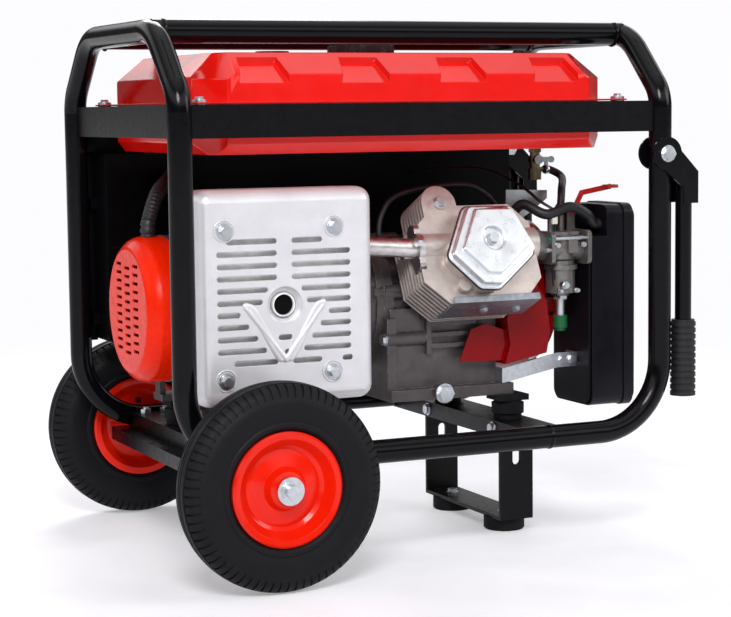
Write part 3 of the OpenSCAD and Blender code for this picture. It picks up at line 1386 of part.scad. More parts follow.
module strap() {
  hull() {
    block([strap_x0, strap_y - strap_t, strap_z0 - strap_h / 2], [strap_x0 + 1, strap_y, strap_z0 + strap_h / 2]);
    block([strap_x1, strap_y - strap_t, strap_z1 - strap_h / 2], [strap_x1 + 1, strap_y, strap_z1 + strap_h / 2]);
  }
  block([strap_x0 - strap_t, strap_y - strap_t, strap_z0 - strap_h / 2], [strap_x0, strap_y + 18, strap_z0 + strap_h / 2]);
  block([strap_x1, strap_y - strap_t, strap_z1 - strap_h / 2], [cleaner_x, strap_y, strap_z1 + strap_h / 2]);
  block([cleaner_x - strap_t, strap_y - strap_t, strap_z1 - strap_h / 2], [cleaner_x, strap_y + 24, strap_z1 + strap_h / 2]);
}

// ---------- wheels ----------

// shape turned about a wheel's axis; +Y of the outline points outwards
module wheel_turned() translate([wheel_x, -wheel_mid, wheel_r]) rotate([90, 0, 0]) rotate_extrude() children();

tyre_s = tyre_w / 2;

// tyre: carcass with a rounded tread, open towards the rim
module tyre() wheel_turned() difference() {
  union() {
    translate([rim_r, -tyre_s + 4]) square([wheel_r - rim_r - 8, tyre_w - 8]);
    translate([rim_r + 8, -tyre_s]) square([wheel_r - rim_r - 22, tyre_w]);
    translate([wheel_r - 14, -tyre_s + 14]) square([14, tyre_w - 28]);
    for (s = [-1, 1]) {
      translate([wheel_r - 14, s * (tyre_s - 14)]) circle(r = 14);
      translate([rim_r + 8, s * (tyre_s - 8)]) intersection() {
        circle(r = 8);
        square([20, 20], center = true);
      }
    }
  }
  translate([rim_r - 1, -tyre_s + 12]) square([wheel_r - rim_r - 14, tyre_w - 24]);
  translate([0, -tyre_w]) square([rim_r, tyre_w * 2]);
}

module tyre_near() color("#1d1c1e") placed() tyre();

module tyre_far() color("#1d1c1e") placed() far() tyre();

hub_r = axle_d / 2 + hub_fit;
hub_wall = hub_r + 5;
dish = tyre_s - 12;

// outside of a pressed rim half, from the hub boss to the bead flange
rim_face = [
  [hub_wall, dish + 12], [17, dish + 11], [22, dish + 9], [27, dish - 1], [rim_r - 27, dish - 5.5],
  [rim_r - 23, dish - 7], [rim_r - 18, dish - 4], [rim_r - 9, tyre_s - 1.5], [rim_r - 3, tyre_s], [rim_r, tyre_s - 3]
];
// inside of the same half, from the hub sleeve to the ring under the tyre
rim_back = [
  [hub_wall, dish + 7], [19, dish + 5], [25, dish - 5], [rim_r - 26, dish - 9], [rim_r - 23, dish - 11],
  [rim_r - 19, dish - 9], [rim_r - 9, tyre_s - 5], [rim_r - 3, tyre_s - 4]
];

// the same points on the inboard half, stopped short of the stub's collar
function inboard(p) = [for (i = [len(p) - 1 : -1 : 0]) [p[i].x, max(-p[i].y, hub_in - wheel_mid)]];

// rim: two pressed halves welded to a hub sleeve and a ring under the tyre
module rim() difference() {
  wheel_turned() difference() {
    polygon(concat([[hub_r, hub_out - wheel_mid], [hub_wall, hub_out - wheel_mid]], rim_face,
      inboard(rim_face), [[hub_r, hub_in - wheel_mid]]));
    polygon(concat(rim_back, inboard(rim_back)));
  }
  // hole for the valve, through the inner disc
  translate([wheel_x, -wheel_mid, wheel_r + rim_r - 35]) bar_y(0, tyre_w, 4.5);
}

module rim_near() color("#d8231a") placed() rim();

module rim_far() color("#d8231a") placed() far() rim();

// ---------- lifting handles ----------

cheek_y = tube_r + 0.5;
web_top = -(tube_r + 9);
web_low = -66;

// side outline of the handle's bracket, from the pivot
module cheek_shape() {
  circle(r = cheek_r);
  polygon([[4, cheek_r - 0.5], [handle_out + 11, -24], [handle_out + 11, web_low],
    [handle_out - 11, web_low], [handle_out - 11, -46], [-4, -cheek_r + 0.5]]);
}

// forked bracket astride the post, with the handle tube welded in
module handle() translate([post_x, -post_y, pivot_z]) difference() {
  union() {
    for (s = [-1, 1]) translate([0, s * (cheek_y + cheek_t / 2) + cheek_t / 2, 0]) rotate([90, 0, 0])
      linear_extrude(cheek_t) cheek_shape();
    block([handle_out + 8, -cheek_y - eps, web_low], [handle_out + 11, cheek_y + eps, web_top]);
    translate([handle_out, 0, -handle_l + 3]) cylinder(h = handle_l - 3 + web_top - 16, r = handle_d / 2);
  }
  bar_y(-50, 50, pivot_d / 2 + run);
}

module handle_near() color("#17171a") placed() handle();

module handle_far() color("#17171a") placed() far() handle();

grip_ribs = 12;

// ribbed rubber grip over the tube's end
module grip() translate([post_x + handle_out, -post_y, pivot_z - handle_l]) difference() {
  union() {
    cylinder(h = grip_l, r = grip_r - 1.5);
    for (i = [0 : grip_ribs - 1]) translate([0, 0, i * grip_l / grip_ribs]) cylinder(h = grip_l / grip_ribs * 0.62, r = grip_r);
  }
  translate([0, 0, 3]) cylinder(h = grip_l, r = handle_d / 2);
}

module grip_near() color("#1b1b1c") placed() grip();

module grip_far() color("#1b1b1c") placed() far() grip();

hoop_left();
hoop_right();
top_rails();
tank_bands();
cross_members();
axle_beam();
axle_stubs();
front_leg();
rubber_feet();
frame_fasteners();
rubber_mounts();
fuel_tank();
fuel_gauge();
fuel_cock();
fuel_hose();
crankcase();
cylinder_barrel();
cylinder_head();
head_cover();
deflector_plate();
spark_plug_lead();
exhaust_pipe();
muffler();
heat_shield();
engine_fasteners();
carburettor();
throttle_plate();
fuel_solenoid();
air_cleaner_case();
air_cleaner_cover();
breather_hose();
fan_shroud();
recoil_cover();
stator();
stator_windings();
alternator_housing();
end_bracket();
end_cover();
wiring_conduit();
support_strap();
control_box();
control_face();
panel_fittings();
crankshaft();
flywheel();
rotor();
tyre_near();
rim_near();
tyre_far();
rim_far();
handle_near();
handle_far();
grip_near();
grip_far();
fuel_cap();
fuel_cock_lever();
choke_lever();
recoil_handle();
key_switch();
breaker_lever();
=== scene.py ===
import math

import bmesh
import bpy
from mathutils import Euler, Matrix, Vector, noise


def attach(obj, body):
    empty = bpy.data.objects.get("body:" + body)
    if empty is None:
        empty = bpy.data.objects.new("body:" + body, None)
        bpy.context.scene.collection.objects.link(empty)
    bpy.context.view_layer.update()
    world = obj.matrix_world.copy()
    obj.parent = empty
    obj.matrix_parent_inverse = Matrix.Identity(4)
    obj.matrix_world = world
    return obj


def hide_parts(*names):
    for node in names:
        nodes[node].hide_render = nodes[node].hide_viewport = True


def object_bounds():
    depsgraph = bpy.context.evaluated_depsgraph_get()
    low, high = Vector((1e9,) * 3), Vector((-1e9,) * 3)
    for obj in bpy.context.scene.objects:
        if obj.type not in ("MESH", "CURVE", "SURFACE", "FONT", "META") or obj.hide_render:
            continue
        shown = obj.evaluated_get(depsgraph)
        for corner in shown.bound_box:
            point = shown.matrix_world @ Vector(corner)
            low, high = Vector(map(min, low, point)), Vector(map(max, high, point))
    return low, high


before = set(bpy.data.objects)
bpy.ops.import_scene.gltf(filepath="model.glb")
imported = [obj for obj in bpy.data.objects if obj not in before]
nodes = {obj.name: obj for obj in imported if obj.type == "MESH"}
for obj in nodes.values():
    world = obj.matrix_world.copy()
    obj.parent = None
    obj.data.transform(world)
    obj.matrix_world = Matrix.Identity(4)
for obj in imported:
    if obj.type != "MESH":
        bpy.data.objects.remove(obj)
cad_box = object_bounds()
scene = bpy.context.scene

# Everything is written in millimetres of the generator's own frame.
MM = 0.001
# The source puts the frame's middle this far along x.
FRAME_SHIFT = -11.5


def at(x, y, z):
    """A point of the generator, from millimetres about the middle of its tubular frame."""
    return Vector((x + FRAME_SHIFT, y, z)) * MM


# ---------- studio ----------
# Camera 0.57 m above the floor, to the left of the near side, with a long lens. Plain white floor and
# surroundings, a soft key lamp on the near left, a weaker fill on the right and a rim lamp behind.

YAW, PITCH, ROLL = 0.426, -0.0988, -0.0113
CAMERA_SPOT = (-1122.5, -2454.7, 571.7)
SENSOR_MM = 36
# Focal length over the picture's width.
LENS_RATIO = 2.7227086
forward = Vector((math.sin(YAW) * math.cos(PITCH), math.cos(YAW) * math.cos(PITCH), math.sin(PITCH)))
level_right = Vector((math.cos(YAW), -math.sin(YAW), 0))
level_up = level_right.cross(forward)
right = math.cos(ROLL) * level_right + math.sin(ROLL) * level_up
up = right.cross(forward)
lens = bpy.data.cameras.new("studio_camera")
lens.sensor_width = SENSOR_MM
lens.lens = LENS_RATIO * SENSOR_MM
lens.clip_end = 50
camera = bpy.data.objects.new("studio_camera", lens)
aimed = Matrix((right, up, -forward)).transposed().to_4x4()
camera.matrix_world = Matrix.Translation(Vector(CAMERA_SPOT) * MM) @ aimed
scene.collection.objects.link(camera)
scene.camera = camera
scene.view_settings.view_transform = "Standard"


def linear(hex_colour, gain=1.0):
    """sRGB hex to the linear colour that the nodes take, made lighter or darker by gain."""
    parts = [int(hex_colour[i:i + 2], 16) / 255 for i in (1, 3, 5)]
    values = [p / 12.92 if p <= 0.04045 else ((p + 0.055) / 1.055) ** 2.4 for p in parts]
    return (*[min(v * gain, 1) for v in values], 1)


def add(tree, kind, settings=None, links=None):
    """Adds one node to a tree, sets its fields and sockets, and links its inputs."""
    node = tree.nodes.new("ShaderNode" + kind)
    for key, value in (settings or {}).items():
        if isinstance(key, str) and hasattr(node, key):
            setattr(node, key, value)
        else:
            node.inputs[key].default_value = value
    for key, source in (links or {}).items():
        tree.links.new(source, node.inputs[key])
    return node


def rays(tree):
    """The Light Path outputs, and 1 for the rays that show the background: seen, passed on or mirrored."""
    path = add(tree, "LightPath").outputs
    shown = path["Is Camera Ray"]
    for kind in ("Is Transmission Ray", "Is Glossy Ray"):
        shown = add(tree, "Math", {"operation": "MAXIMUM"}, {0: shown, 1: path[kind]}).outputs[0]
    return path, shown


world = bpy.data.worlds.new("studio_light")
scene.world = world
world.use_nodes = True
sky = world.node_tree
sky.nodes.clear()
path, shown = rays(sky)
soft = add(sky, "Background", {"Color": linear("#f4f6ff"), "Strength": 0.42})
white = add(sky, "Background", {"Color": linear("#fdfcff"), "Strength": 1.0})
both = add(sky, "MixShader", {}, {0: shown, 1: soft.outputs[0], 2: white.outputs[0]})
# Gloss sees the studio with its dark flags: one bright band between the flagged horizon and the unlit ceiling.
heading = add(sky, "SeparateXYZ", {}, {"Vector": add(sky, "TexCoord").outputs["Generated"]})
height = add(sky, "MapRange", {"From Min": -1.0, "From Max": 1.0}, {"Value": heading.outputs["Z"]})
flags = add(sky, "ValToRGB", {}, {"Fac": height.outputs[0]})
FLAG_STOPS = ((0.0, 0.34), (0.45, 0.3), (0.5, 0.05), (0.62, 0.05), (0.67, 1.0), (0.78, 1.0), (0.84, 0.12), (1.0, 0.1))
for position, shade in FLAG_STOPS:
    stop = flags.color_ramp.elements.new(position)
    stop.color = (shade, shade, shade, 1)
mirrored = add(sky, "Background", {"Strength": 1.7}, {"Color": flags.outputs["Color"]})
studio = add(sky, "MixShader", {}, {0: path["Is Glossy Ray"], 1: both.outputs[0], 2: mirrored.outputs[0]})
add(sky, "OutputWorld", {}, {"Surface": studio.outputs[0]})

# Lamps, in metres: place, aim, breadth and power.
for name, spot, aim, breadth, watts in (
    ("key_lamp", (-1.3, -2.6, 2.3), (0, 0, 0.35), 1.2, 78),
    ("fill_lamp", (2.4, -1.6, 1.5), (0, 0, 0.35), 1.4, 20),
    ("rim_lamp", (0.5, 2.4, 2.4), (0, 0, 0.4), 1.6, 40),
):
    lamp = bpy.data.lights.new(name, "AREA")
    lamp.shape = "DISK"
    lamp.size = breadth
    lamp.energy = watts
    stand = bpy.data.objects.new(name, lamp)
    stand.location = spot
    stand.rotation_euler = (Vector(aim) - Vector(spot)).to_track_quat("-Z", "Y").to_euler()
    scene.collection.objects.link(stand)

floor_mesh = bmesh.new()
bmesh.ops.create_grid(floor_mesh, x_segments=1, y_segments=1, size=30)
floor_data = bpy.data.meshes.new("studio_floor")
floor_mesh.to_mesh(floor_data)
floor_mesh.free()
floor = bpy.data.objects.new("studio_floor", floor_data)
floor_data.transform(Matrix.Translation((0, 0, cad_box[0][2] - 0.4 * MM)))
scene.collection.objects.link(floor)
# Painted studio floor: pale, matt, with faint scuffs, fading to plain white well away from the generator.
floor_paint = bpy.data.materials.new("studio_floor_paint")
floor_paint.use_nodes = True
tree = floor_paint.node_tree
tree.nodes.clear()
place = add(tree, "TexCoord").outputs["Object"]
scuff = add(tree, "TexNoise", {"Scale": 3.0, "Detail": 6.0, "Roughness": 0.65}, {"Vector": place}).outputs["Fac"]
tone = add(tree, "ValToRGB", {}, {"Fac": scuff})
tone.color_ramp.elements[0].position, tone.color_ramp.elements[0].color = 0.35, linear("#dddce1")
tone.color_ramp.elements[1].position, tone.color_ramp.elements[1].color = 0.62, linear("#efeef3")
matt = add(tree, "BsdfPrincipled", {"Roughness": 0.6}, {"Base Color": tone.outputs["Color"]})
glow = add(tree, "Emission", {"Color": linear("#ffffff"), "Strength": 0.3})
lit = add(tree, "AddShader", {}, {0: matt.outputs[0], 1: glow.outputs[0]})
reach = add(tree, "VectorMath", {"operation": "LENGTH"}, {0: place})
away = add(tree, "MapRange", {"From Min": 0.8, "From Max": 2.6, "interpolation_type": "SMOOTHSTEP"},
           {"Value": reach.outputs["Value"]})
shown = rays(tree)[1]
away = add(tree, "Math", {"operation": "MULTIPLY"}, {0: away.outputs[0], 1: shown})
paper = add(tree, "Emission", {"Color": linear("#fdfcff"), "Strength": 1.0})
whole = add(tree, "MixShader", {}, {0: away.outputs[0], 1: lit.outputs[0], 2: paper.outputs[0]})
add(tree, "OutputMaterial", {}, {"Surface": whole.outputs[0]})
floor_data.materials.append(floor_paint)


# ---------- tubular frame ----------
# Two bent hoops, two rails over the tank and cross members: 30 mm steel tube,
# welded, then sprayed with gloss black enamel that flows a little round the tube.

def surface(name, colour, roughness, metallic=0.0, coat=0.0, grain=0.0, grain_mm=1.0, mottle=0.08,
            mottle_mm=60.0, worn="", edge_mm=0.8, dust=0.0, gloss=0.5):
    """A finish: cloudy colour, uneven gloss, a grain of one size, softened edges that may be worn, and settled dust."""
    material = bpy.data.materials.new(name)
    material.use_nodes = True
    tree = material.node_tree
    tree.nodes.clear()
    place = add(tree, "TexCoord").outputs["Object"]
    cloud = add(tree, "TexNoise", {"Scale": 1000 / mottle_mm, "Detail": 5.0, "Roughness": 0.6}, {"Vector": place})
    tint = add(tree, "ValToRGB", {}, {"Fac": cloud.outputs["Fac"]})
    low, high = tint.color_ramp.elements
    low.position, low.color = 0.34, linear(colour, 1 - mottle)
    high.position, high.color = 0.66, linear(colour, 1 + mottle)
    colour_out = tint.outputs["Color"]
    soft = add(tree, "Bevel", {"samples": 4, "Radius": edge_mm * MM})
    geometry = add(tree, "NewGeometry")
    # Where the softened normal leaves the face's own, the edge is rubbed through in spots.
    if worn:
        turn = add(tree, "VectorMath", {"operation": "DOT_PRODUCT"},
                   {0: soft.outputs["Normal"], 1: geometry.outputs["Normal"]})
        chips = add(tree, "TexNoise", {"Scale": 160.0, "Detail": 3.0}, {"Vector": place})
        edge = add(tree, "MapRange", {"From Min": 0.99, "From Max": 0.86}, {"Value": turn.outputs["Value"]})
        spots = add(tree, "MapRange", {"From Min": 0.5, "From Max": 0.66}, {"Value": chips.outputs["Fac"]})
        mask = add(tree, "Math", {"operation": "MULTIPLY"}, {0: edge.outputs[0], 1: spots.outputs[0]})
        colour_out = add(tree, "MixRGB", {"Color2": linear(worn)},
                         {"Fac": mask.outputs[0], "Color1": colour_out}).outputs["Color"]
    # A thin film in patches on whatever faces up.
    if dust:
        lean = add(tree, "SeparateXYZ", {}, {"Vector": geometry.outputs["Normal"]})
        drift = add(tree, "TexNoise", {"Scale": 24.0, "Detail": 6.0}, {"Vector": place})
        flat = add(tree, "MapRange", {"From Min": 0.55, "From Max": 1.0, "To Max": dust}, {"Value": lean.outputs["Z"]})
        patch = add(tree, "MapRange", {"From Min": 0.4, "From Max": 0.62}, {"Value": drift.outputs["Fac"]})
        film = add(tree, "Math", {"operation": "MULTIPLY"}, {0: flat.outputs[0], 1: patch.outputs[0]})
        colour_out = add(tree, "MixRGB", {"Color2": linear("#8d8a86")},
                         {"Fac": film.outputs[0], "Color1": colour_out}).outputs["Color"]
    # Uneven gloss, and the grain as a bump about a third as deep as it is wide.
    speck = add(tree, "TexNoise", {"Scale": 1000 / grain_mm, "Detail": 2.0}, {"Vector": place})
    haze = add(tree, "TexNoise", {"Scale": 90.0, "Detail": 3.0}, {"Vector": place})
    rough = add(tree, "MapRange", {"From Min": 0.3, "From Max": 0.7, "To Min": max(roughness - 0.05, 0.02),
                                   "To Max": roughness + 0.07}, {"Value": haze.outputs["Fac"]})
    bump = add(tree, "Bump", {"Strength": grain, "Distance": grain_mm * MM * 0.35},
               {"Height": speck.outputs["Fac"], "Normal": soft.outputs["Normal"]})
    shader = add(tree, "BsdfPrincipled", {"Metallic": metallic, "Coat Weight": coat, "Coat Roughness": 0.06,
                                          "Specular IOR Level": gloss},
                 {"Base Color": colour_out, "Roughness": rough.outputs[0], "Normal": bump.outputs["Normal"]})
    add(tree, "OutputMaterial", {}, {"Surface": shader.outputs[0]})
    return material


def paint(material, *names):
    """Gives carried-over CAD nodes one finish."""
    for name in names:
        nodes[name].data.materials.clear()
        nodes[name].data.materials.append(material)


# Gloss black spray enamel on steel tube: near-black, sharp highlights, faint orange peel.
black_enamel = surface("gloss_black_enamel", "#08070a", 0.14, grain=0.05, grain_mm=2.4, mottle=0.15, gloss=0.16,
                       edge_mm=1.2)
paint(black_enamel, "hoop_left", "hoop_right", "top_rails")


def piece(name, shape, material, body="frame", smooth=38, hides=()):
    """Finishes a bmesh as one piece of the generator that moves with a body."""
    data = bpy.data.meshes.new(name)
    shape.to_mesh(data)
    shape.free()
    made = bpy.data.objects.new(name, data)
    scene.collection.objects.link(made)
    data.materials.append(material)
    if smooth:
        data.shade_smooth()
        data.set_sharp_from_angle(angle=math.radians(smooth))
    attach(made, body)
    if hides:
        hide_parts(*hides)
    return made


def ring(shape, middle, axis, radius, thick, turns=48, wide=None, sides=10):
    """A round bead or band about an axis: one small ellipse, spun."""
    axis = Vector(axis).normalized()
    side = axis.orthogonal().normalized()
    before = set(shape.verts)
    cut = Matrix.Translation(side * radius) @ axis.cross(side).to_track_quat("Z", "X").to_matrix().to_4x4()
    made = bmesh.ops.create_circle(shape, segments=sides, radius=thick, matrix=cut)
    for v in made["verts"]:
        v.co += axis * v.co.dot(axis) * ((wide or thick) / thick - 1)
    edges = list({e for v in made["verts"] for e in v.link_edges})
    bmesh.ops.spin(shape, geom=made["verts"] + edges, cent=(0, 0, 0), axis=axis, angle=2 * math.pi, steps=turns,
                   use_merge=True)
    fresh = [v for v in shape.verts if v not in before]
    bmesh.ops.translate(shape, verts=fresh, vec=Vector(middle))
    bmesh.ops.recalc_face_normals(shape, faces=list({f for v in fresh for f in v.link_faces}))
    return fresh


# Weld beads: where the rails meet the hoops and the hoop halves meet, rippled by the torch.
beads = bmesh.new()
# Middle lines of the posts, the bottom rails and the top rails, and where the two hoops meet.
TUBE_R, POST_X, POST_Y, RAIL_Z, TOP_Z, RAIL_Y, JOINT_X = 15, 334, 217, 147, 672, 119, 164
for side in (-1, 1):
    for end in (-1, 1):
        for v in ring(beads, at(end * (POST_X - 14.2), side * RAIL_Y, TOP_Z), (1, 0, 0), 15.4 * MM, 2.1 * MM):
            v.co.z = min(v.co.z + 0.5 * MM * noise.noise(v.co * 260), cad_box[1][2])
    for v in ring(beads, at(JOINT_X, side * POST_Y, RAIL_Z), (1, 0, 0), 15.1 * MM, 0.9 * MM, wide=2.6 * MM):
        v.co.z += 0.3 * MM * noise.noise(v.co * 200)
piece("weld_beads", beads, black_enamel, smooth=60)

# ---------- bands, cross members, leg and beam ----------
# Flat steel bands round the tank, folded channels, the axle's beam and the leg, bolted to the hoops.
# Satin black powder coat: duller than the hoops' enamel, with a fine orange peel.

satin_black = surface("satin_black_powder_coat", "#0b0a0d", 0.3, grain=0.12, grain_mm=1.1, mottle=0.12,
                      mottle_mm=30, dust=0.04, gloss=0.14, edge_mm=0.7)
paint(satin_black, "tank_bands", "cross_members", "axle_beam", "front_leg")

# Machined axle stubs and plated bolts: zinc over steel, bluish white, slightly uneven.
zinc_plate = surface("white_zinc_plate", "#ccd0d5", 0.32, metallic=1.0, grain_mm=0.5, mottle=0.1, mottle_mm=6,
                     edge_mm=0.5)
paint(zinc_plate, "axle_stubs", "frame_fasteners", "engine_fasteners")

# Feet and engine mounts: moulded natural rubber, dull, with a little bloom on top.
mount_rubber = surface("moulded_rubber", "#121114", 0.66, grain=0.25, grain_mm=0.8, mottle=0.18, mottle_mm=20,
                       dust=0.08, gloss=0.14, edge_mm=1.2)
paint(mount_rubber, "rubber_feet", "rubber_mounts")

# ---------- wheels ----------
# Pressed rims in red stoving enamel, turning on the stubs; semi-pneumatic tyres of black rubber
# with a ribbed crown and blocks cut across the shoulders.

# Orange-red stoving enamel: smooth and hard, with clear highlights.
rim_enamel = surface("red_stoving_enamel", "#df1c04", 0.16, coat=0.08, gloss=0.22, grain=0.04, grain_mm=1.8,
                     mottle=0.06, edge_mm=0.8)
paint(rim_enamel, "rim_near", "rim_far")
# Carbon-black rubber: nearly black, dull, greyer where dust lies.
tyre_rubber = surface("tyre_rubber", "#0e0d11", 0.55, grain=0.3, grain_mm=0.9, mottle=0.16, mottle_mm=35, dust=0.05,
                      gloss=0.16, edge_mm=1.0)

WHEEL_R, TYRE_HALF, WHEEL_X, WHEEL_GAP = 127, 30, -238, 15
WHEEL_IN = POST_Y + TUBE_R + WHEEL_GAP
# One side of the tyre's section, from the bead round the wall to the crown: along the axle, then out.
SECTION = [(18, 69.5), (24.5, 71), (28, 75), (28.6, 79), (27.2, 81), (29.3, 90), (29.8, 100), (28.6, 109),
           (27.4, 110.6), (26.8, 114), (24, 119.5), (20, 123.2), (15.5, 125.4), (14.6, 122.6), (12.2, 122.6),
           (11.4, 126.2), (4.6, 126.9), (3.8, 123.9), (2, 123.9), (1.2, 126.9)]
# Grooves round each shoulder, a quarter of their pitch wide, beyond this radius and this far out along the axle.
LUGS, LUG_SHARE, LUG_R, LUG_Y = 72, 0.25, 111, 15.5
LUG_DEPTH, LUG_TAPER = 2.2, 0.6


def tyre(side, name, body):
    """Tyre about its own axle: the section spun round, then the grooves let in between the shoulder blocks."""
    shape = bmesh.new()
    whole = SECTION + [(-s, r) for s, r in reversed(SECTION)]
    line = [shape.verts.new((0, s * MM, r * MM)) for s, r in whole]
    edges = [shape.edges.new(pair) for pair in zip(line, line[1:] + line[:1])]
    bmesh.ops.spin(shape, geom=line + edges, cent=(0, 0, 0), axis=(0, 1, 0), angle=2 * math.pi, steps=LUGS * 4,
                   use_merge=True)
    bmesh.ops.recalc_face_normals(shape, faces=shape.faces)
    cuts = []
    for face in shape.faces:
        c = face.calc_center_median()
        reach, along = math.hypot(c.x, c.z) / MM, abs(c.y) / MM
        turn = (math.atan2(c.x, c.z) / (2 * math.pi) * LUGS + (0.5 if c.y > 0 else 0)) % 1
        if LUG_R < reach and LUG_Y < along and turn < LUG_SHARE:
            cuts.append(face)
    grown = bmesh.ops.extrude_face_region(shape, geom=cuts)
    for v in [g for g in grown["geom"] if isinstance(g, bmesh.types.BMVert)]:
        flat = Vector((v.co.x, 0, v.co.z)).normalized()
        v.co -= flat * LUG_DEPTH * MM + Vector((0, math.copysign(LUG_TAPER * MM, v.co.y), 0))
    bmesh.ops.delete(shape, geom=cuts, context="FACES")
    hub = at(WHEEL_X, side * (WHEEL_IN + TYRE_HALF), WHEEL_R)
    bmesh.ops.translate(shape, verts=shape.verts, vec=hub)
    bmesh.ops.recalc_face_normals(shape, faces=shape.faces)
    return piece(name, shape, tyre_rubber, body=body, smooth=32, hides=["tyre_" + name.split("_")[0]])


tyre(-1, "near_tyre", "wheel_near")
tyre(1, "far_tyre", "wheel_far")

# ---------- fuel tank ----------
# Two deep-drawn steel halves welded round a flange, which is screwed to the corners of the bands.
# Red gloss enamel over primer, a black screwed cap and a moulded gauge on top.

# Red gloss enamel: wet-looking, with sharp reflections. The cap's black enamel is duller, and its colour carries
# a dark red tint that is a painted reflection of the red tank. The gauge's ABS is lightly grained.
tank_enamel = surface("red_gloss_enamel", "#e3130b", 0.15, coat=0.25, gloss=0.4, grain=0.06, grain_mm=2.6,
                      mottle=0.04, dust=0.05, edge_mm=1.6)
# Black enamel with painted reflection: the dark red in this colour stands for the red tank mirrored in the cap.
cap_enamel = surface("black_cap_enamel_painted_red_reflection", "#241317", 0.24, coat=0.4, grain=0.05, grain_mm=2, gloss=0.5)
gauge_plastic = surface("gauge_bezel_abs", "#1c1b1f", 0.42, grain=0.15, grain_mm=0.6)


def merged(node):
    """A copy of a CAD node with its loose triangles joined into flat faces, ready for real rounded edges."""
    shape = bmesh.new()
    shape.from_mesh(nodes[node].data)
    bmesh.ops.remove_doubles(shape, verts=shape.verts, dist=0.004 * MM)
    bmesh.ops.dissolve_limit(shape, angle_limit=math.radians(0.6), verts=shape.verts, edges=shape.edges)
    return shape


def creased(shape, least, most):
    """Edges of a merged copy whose two faces meet between two angles, in degrees."""
    return [e for e in shape.edges if len(e.link_faces) == 2 and least < math.degrees(e.calc_face_angle(0)) < most]


def soften(shape, edges, width, segments=2, clamp=False):
    """Rounds some edges of a shape, by a width in millimetres."""
    bmesh.ops.bevel(shape, geom=edges, offset=width * MM, segments=segments, affect="EDGES", profile=0.5, material=-1,
                    clamp_overlap=clamp)


def even_shading(made):
    """Lets the large faces rule the normals, so that flats stay flat beside their rounded edges."""
    weigh = made.modifiers.new("flat_faces", "WEIGHTED_NORMAL")
    weigh.keep_sharp = True
    weigh.weight = 90


tank = merged("fuel_tank")
# The pressing's long folds between broad faces, not the small bosses and pockets.
FOLD_LENGTH, FOLD_AREA = 9 * MM, 120 * MM * MM
folds = [e for e in creased(tank, 10, 80)
         if e.calc_length() > FOLD_LENGTH and min(f.calc_area() for f in e.link_faces) > FOLD_AREA]
soften(tank, folds, 2.2, segments=4, clamp=True)
even_shading(piece("pressed_tank", tank, tank_enamel, smooth=34, hides=["fuel_tank"]))
paint(cap_enamel, "fuel_cap")
paint(gauge_plastic, "fuel_gauge")

# ---------- fuel tap and hose ----------
# Turned brass tap screwed into the tank's underside, with a plated steel lever. A nitrile hose of
# about 10 mm leads from its spout to the carburettor, held by spring clips.

# Brass tarnished to a dull yellow-grey, half-dull rubber, and red enamel chipped at the lever's edges.
tap_brass = surface("turned_brass", "#6f664f", 0.34, metallic=1.0, grain=0.1, grain_mm=0.4, mottle=0.16, mottle_mm=10)
hose_rubber = surface("nitrile_hose", "#1a191c", 0.48, grain=0.14, grain_mm=0.7, mottle=0.14, mottle_mm=14, gloss=0.4)
lever_enamel = surface("red_lever_enamel", "#b81c1a", 0.26, coat=0.3, grain=0.05, grain_mm=1.2, worn="#8e8a86",
                       edge_mm=0.6)
paint(tap_brass, "fuel_cock")
paint(zinc_plate, "fuel_cock_lever")
paint(lever_enamel, "choke_lever")


def curve_through(points, step):
    """Points a step apart along the smooth curve through a few points."""
    ends = [points[0] * 2 - points[1]] + points + [points[-1] * 2 - points[-2]]
    walk = []
    for a, b, c, d in zip(ends, ends[1:], ends[2:], ends[3:]):
        count = max(2, round((c - b).length / step))
        for i in range(count):
            t = i / count
            square, cube = 2 * a - 5 * b + 4 * c - d, 3 * b - a - 3 * c + d
            walk.append(0.5 * (2 * b + (c - a) * t + square * t ** 2 + cube * t ** 3))
    return walk + [points[-1]]


def hose(shape, points, radius, step=3, sides=14, ridge=0.0):
    """A tube skinned over rings set along a curve; a ridge makes every other ring proud."""
    walk = curve_through([at(*p) for p in points], step * MM)
    rings = []
    for i, spot in enumerate(walk):
        ahead = (walk[min(i + 1, len(walk) - 1)] - walk[max(i - 1, 0)]).normalized()
        turn = ahead.to_track_quat("Z", "X").to_matrix().to_4x4()
        proud = radius + (ridge if i % 4 < 2 else -ridge if ridge else 0)
        made = bmesh.ops.create_circle(shape, segments=sides, radius=proud * MM, cap_ends=False,
                                       matrix=Matrix.Translation(spot) @ turn)
        rings.append(list({e for v in made["verts"] for e in v.link_edges}))
    for a, b in zip(rings, rings[1:]):
        bmesh.ops.bridge_loops(shape, edges=a + b)
    for loop in (rings[0], rings[-1]):
        bmesh.ops.contextual_create(shape, geom=loop)
    bmesh.ops.recalc_face_normals(shape, faces=shape.faces)
    return shape


TANK_UNDER = 520.5
# Height of the tap's spout.
SPOUT_Z = TANK_UNDER - 32
FUEL_ROUTE = [(263.3, -30, SPOUT_Z), (267, -30, SPOUT_Z), (272, -30, SPOUT_Z), (283, -46, SPOUT_Z - 10),
              (259, -88, 462), (253, -96, 440), (253, -96, 428.4)]
piece("fuel_line", hose(bmesh.new(), FUEL_ROUTE, 5.3), hose_rubber, hides=["fuel_hose"])


def block(shape, size, middle):
    """A plain box of a size in millimetres about a point in metres; returns its corners."""
    corners = bmesh.ops.create_cube(shape, size=1)["verts"]
    bmesh.ops.scale(shape, verts=corners, vec=Vector(size) * MM)
    bmesh.ops.translate(shape, verts=corners, vec=middle)
    return corners


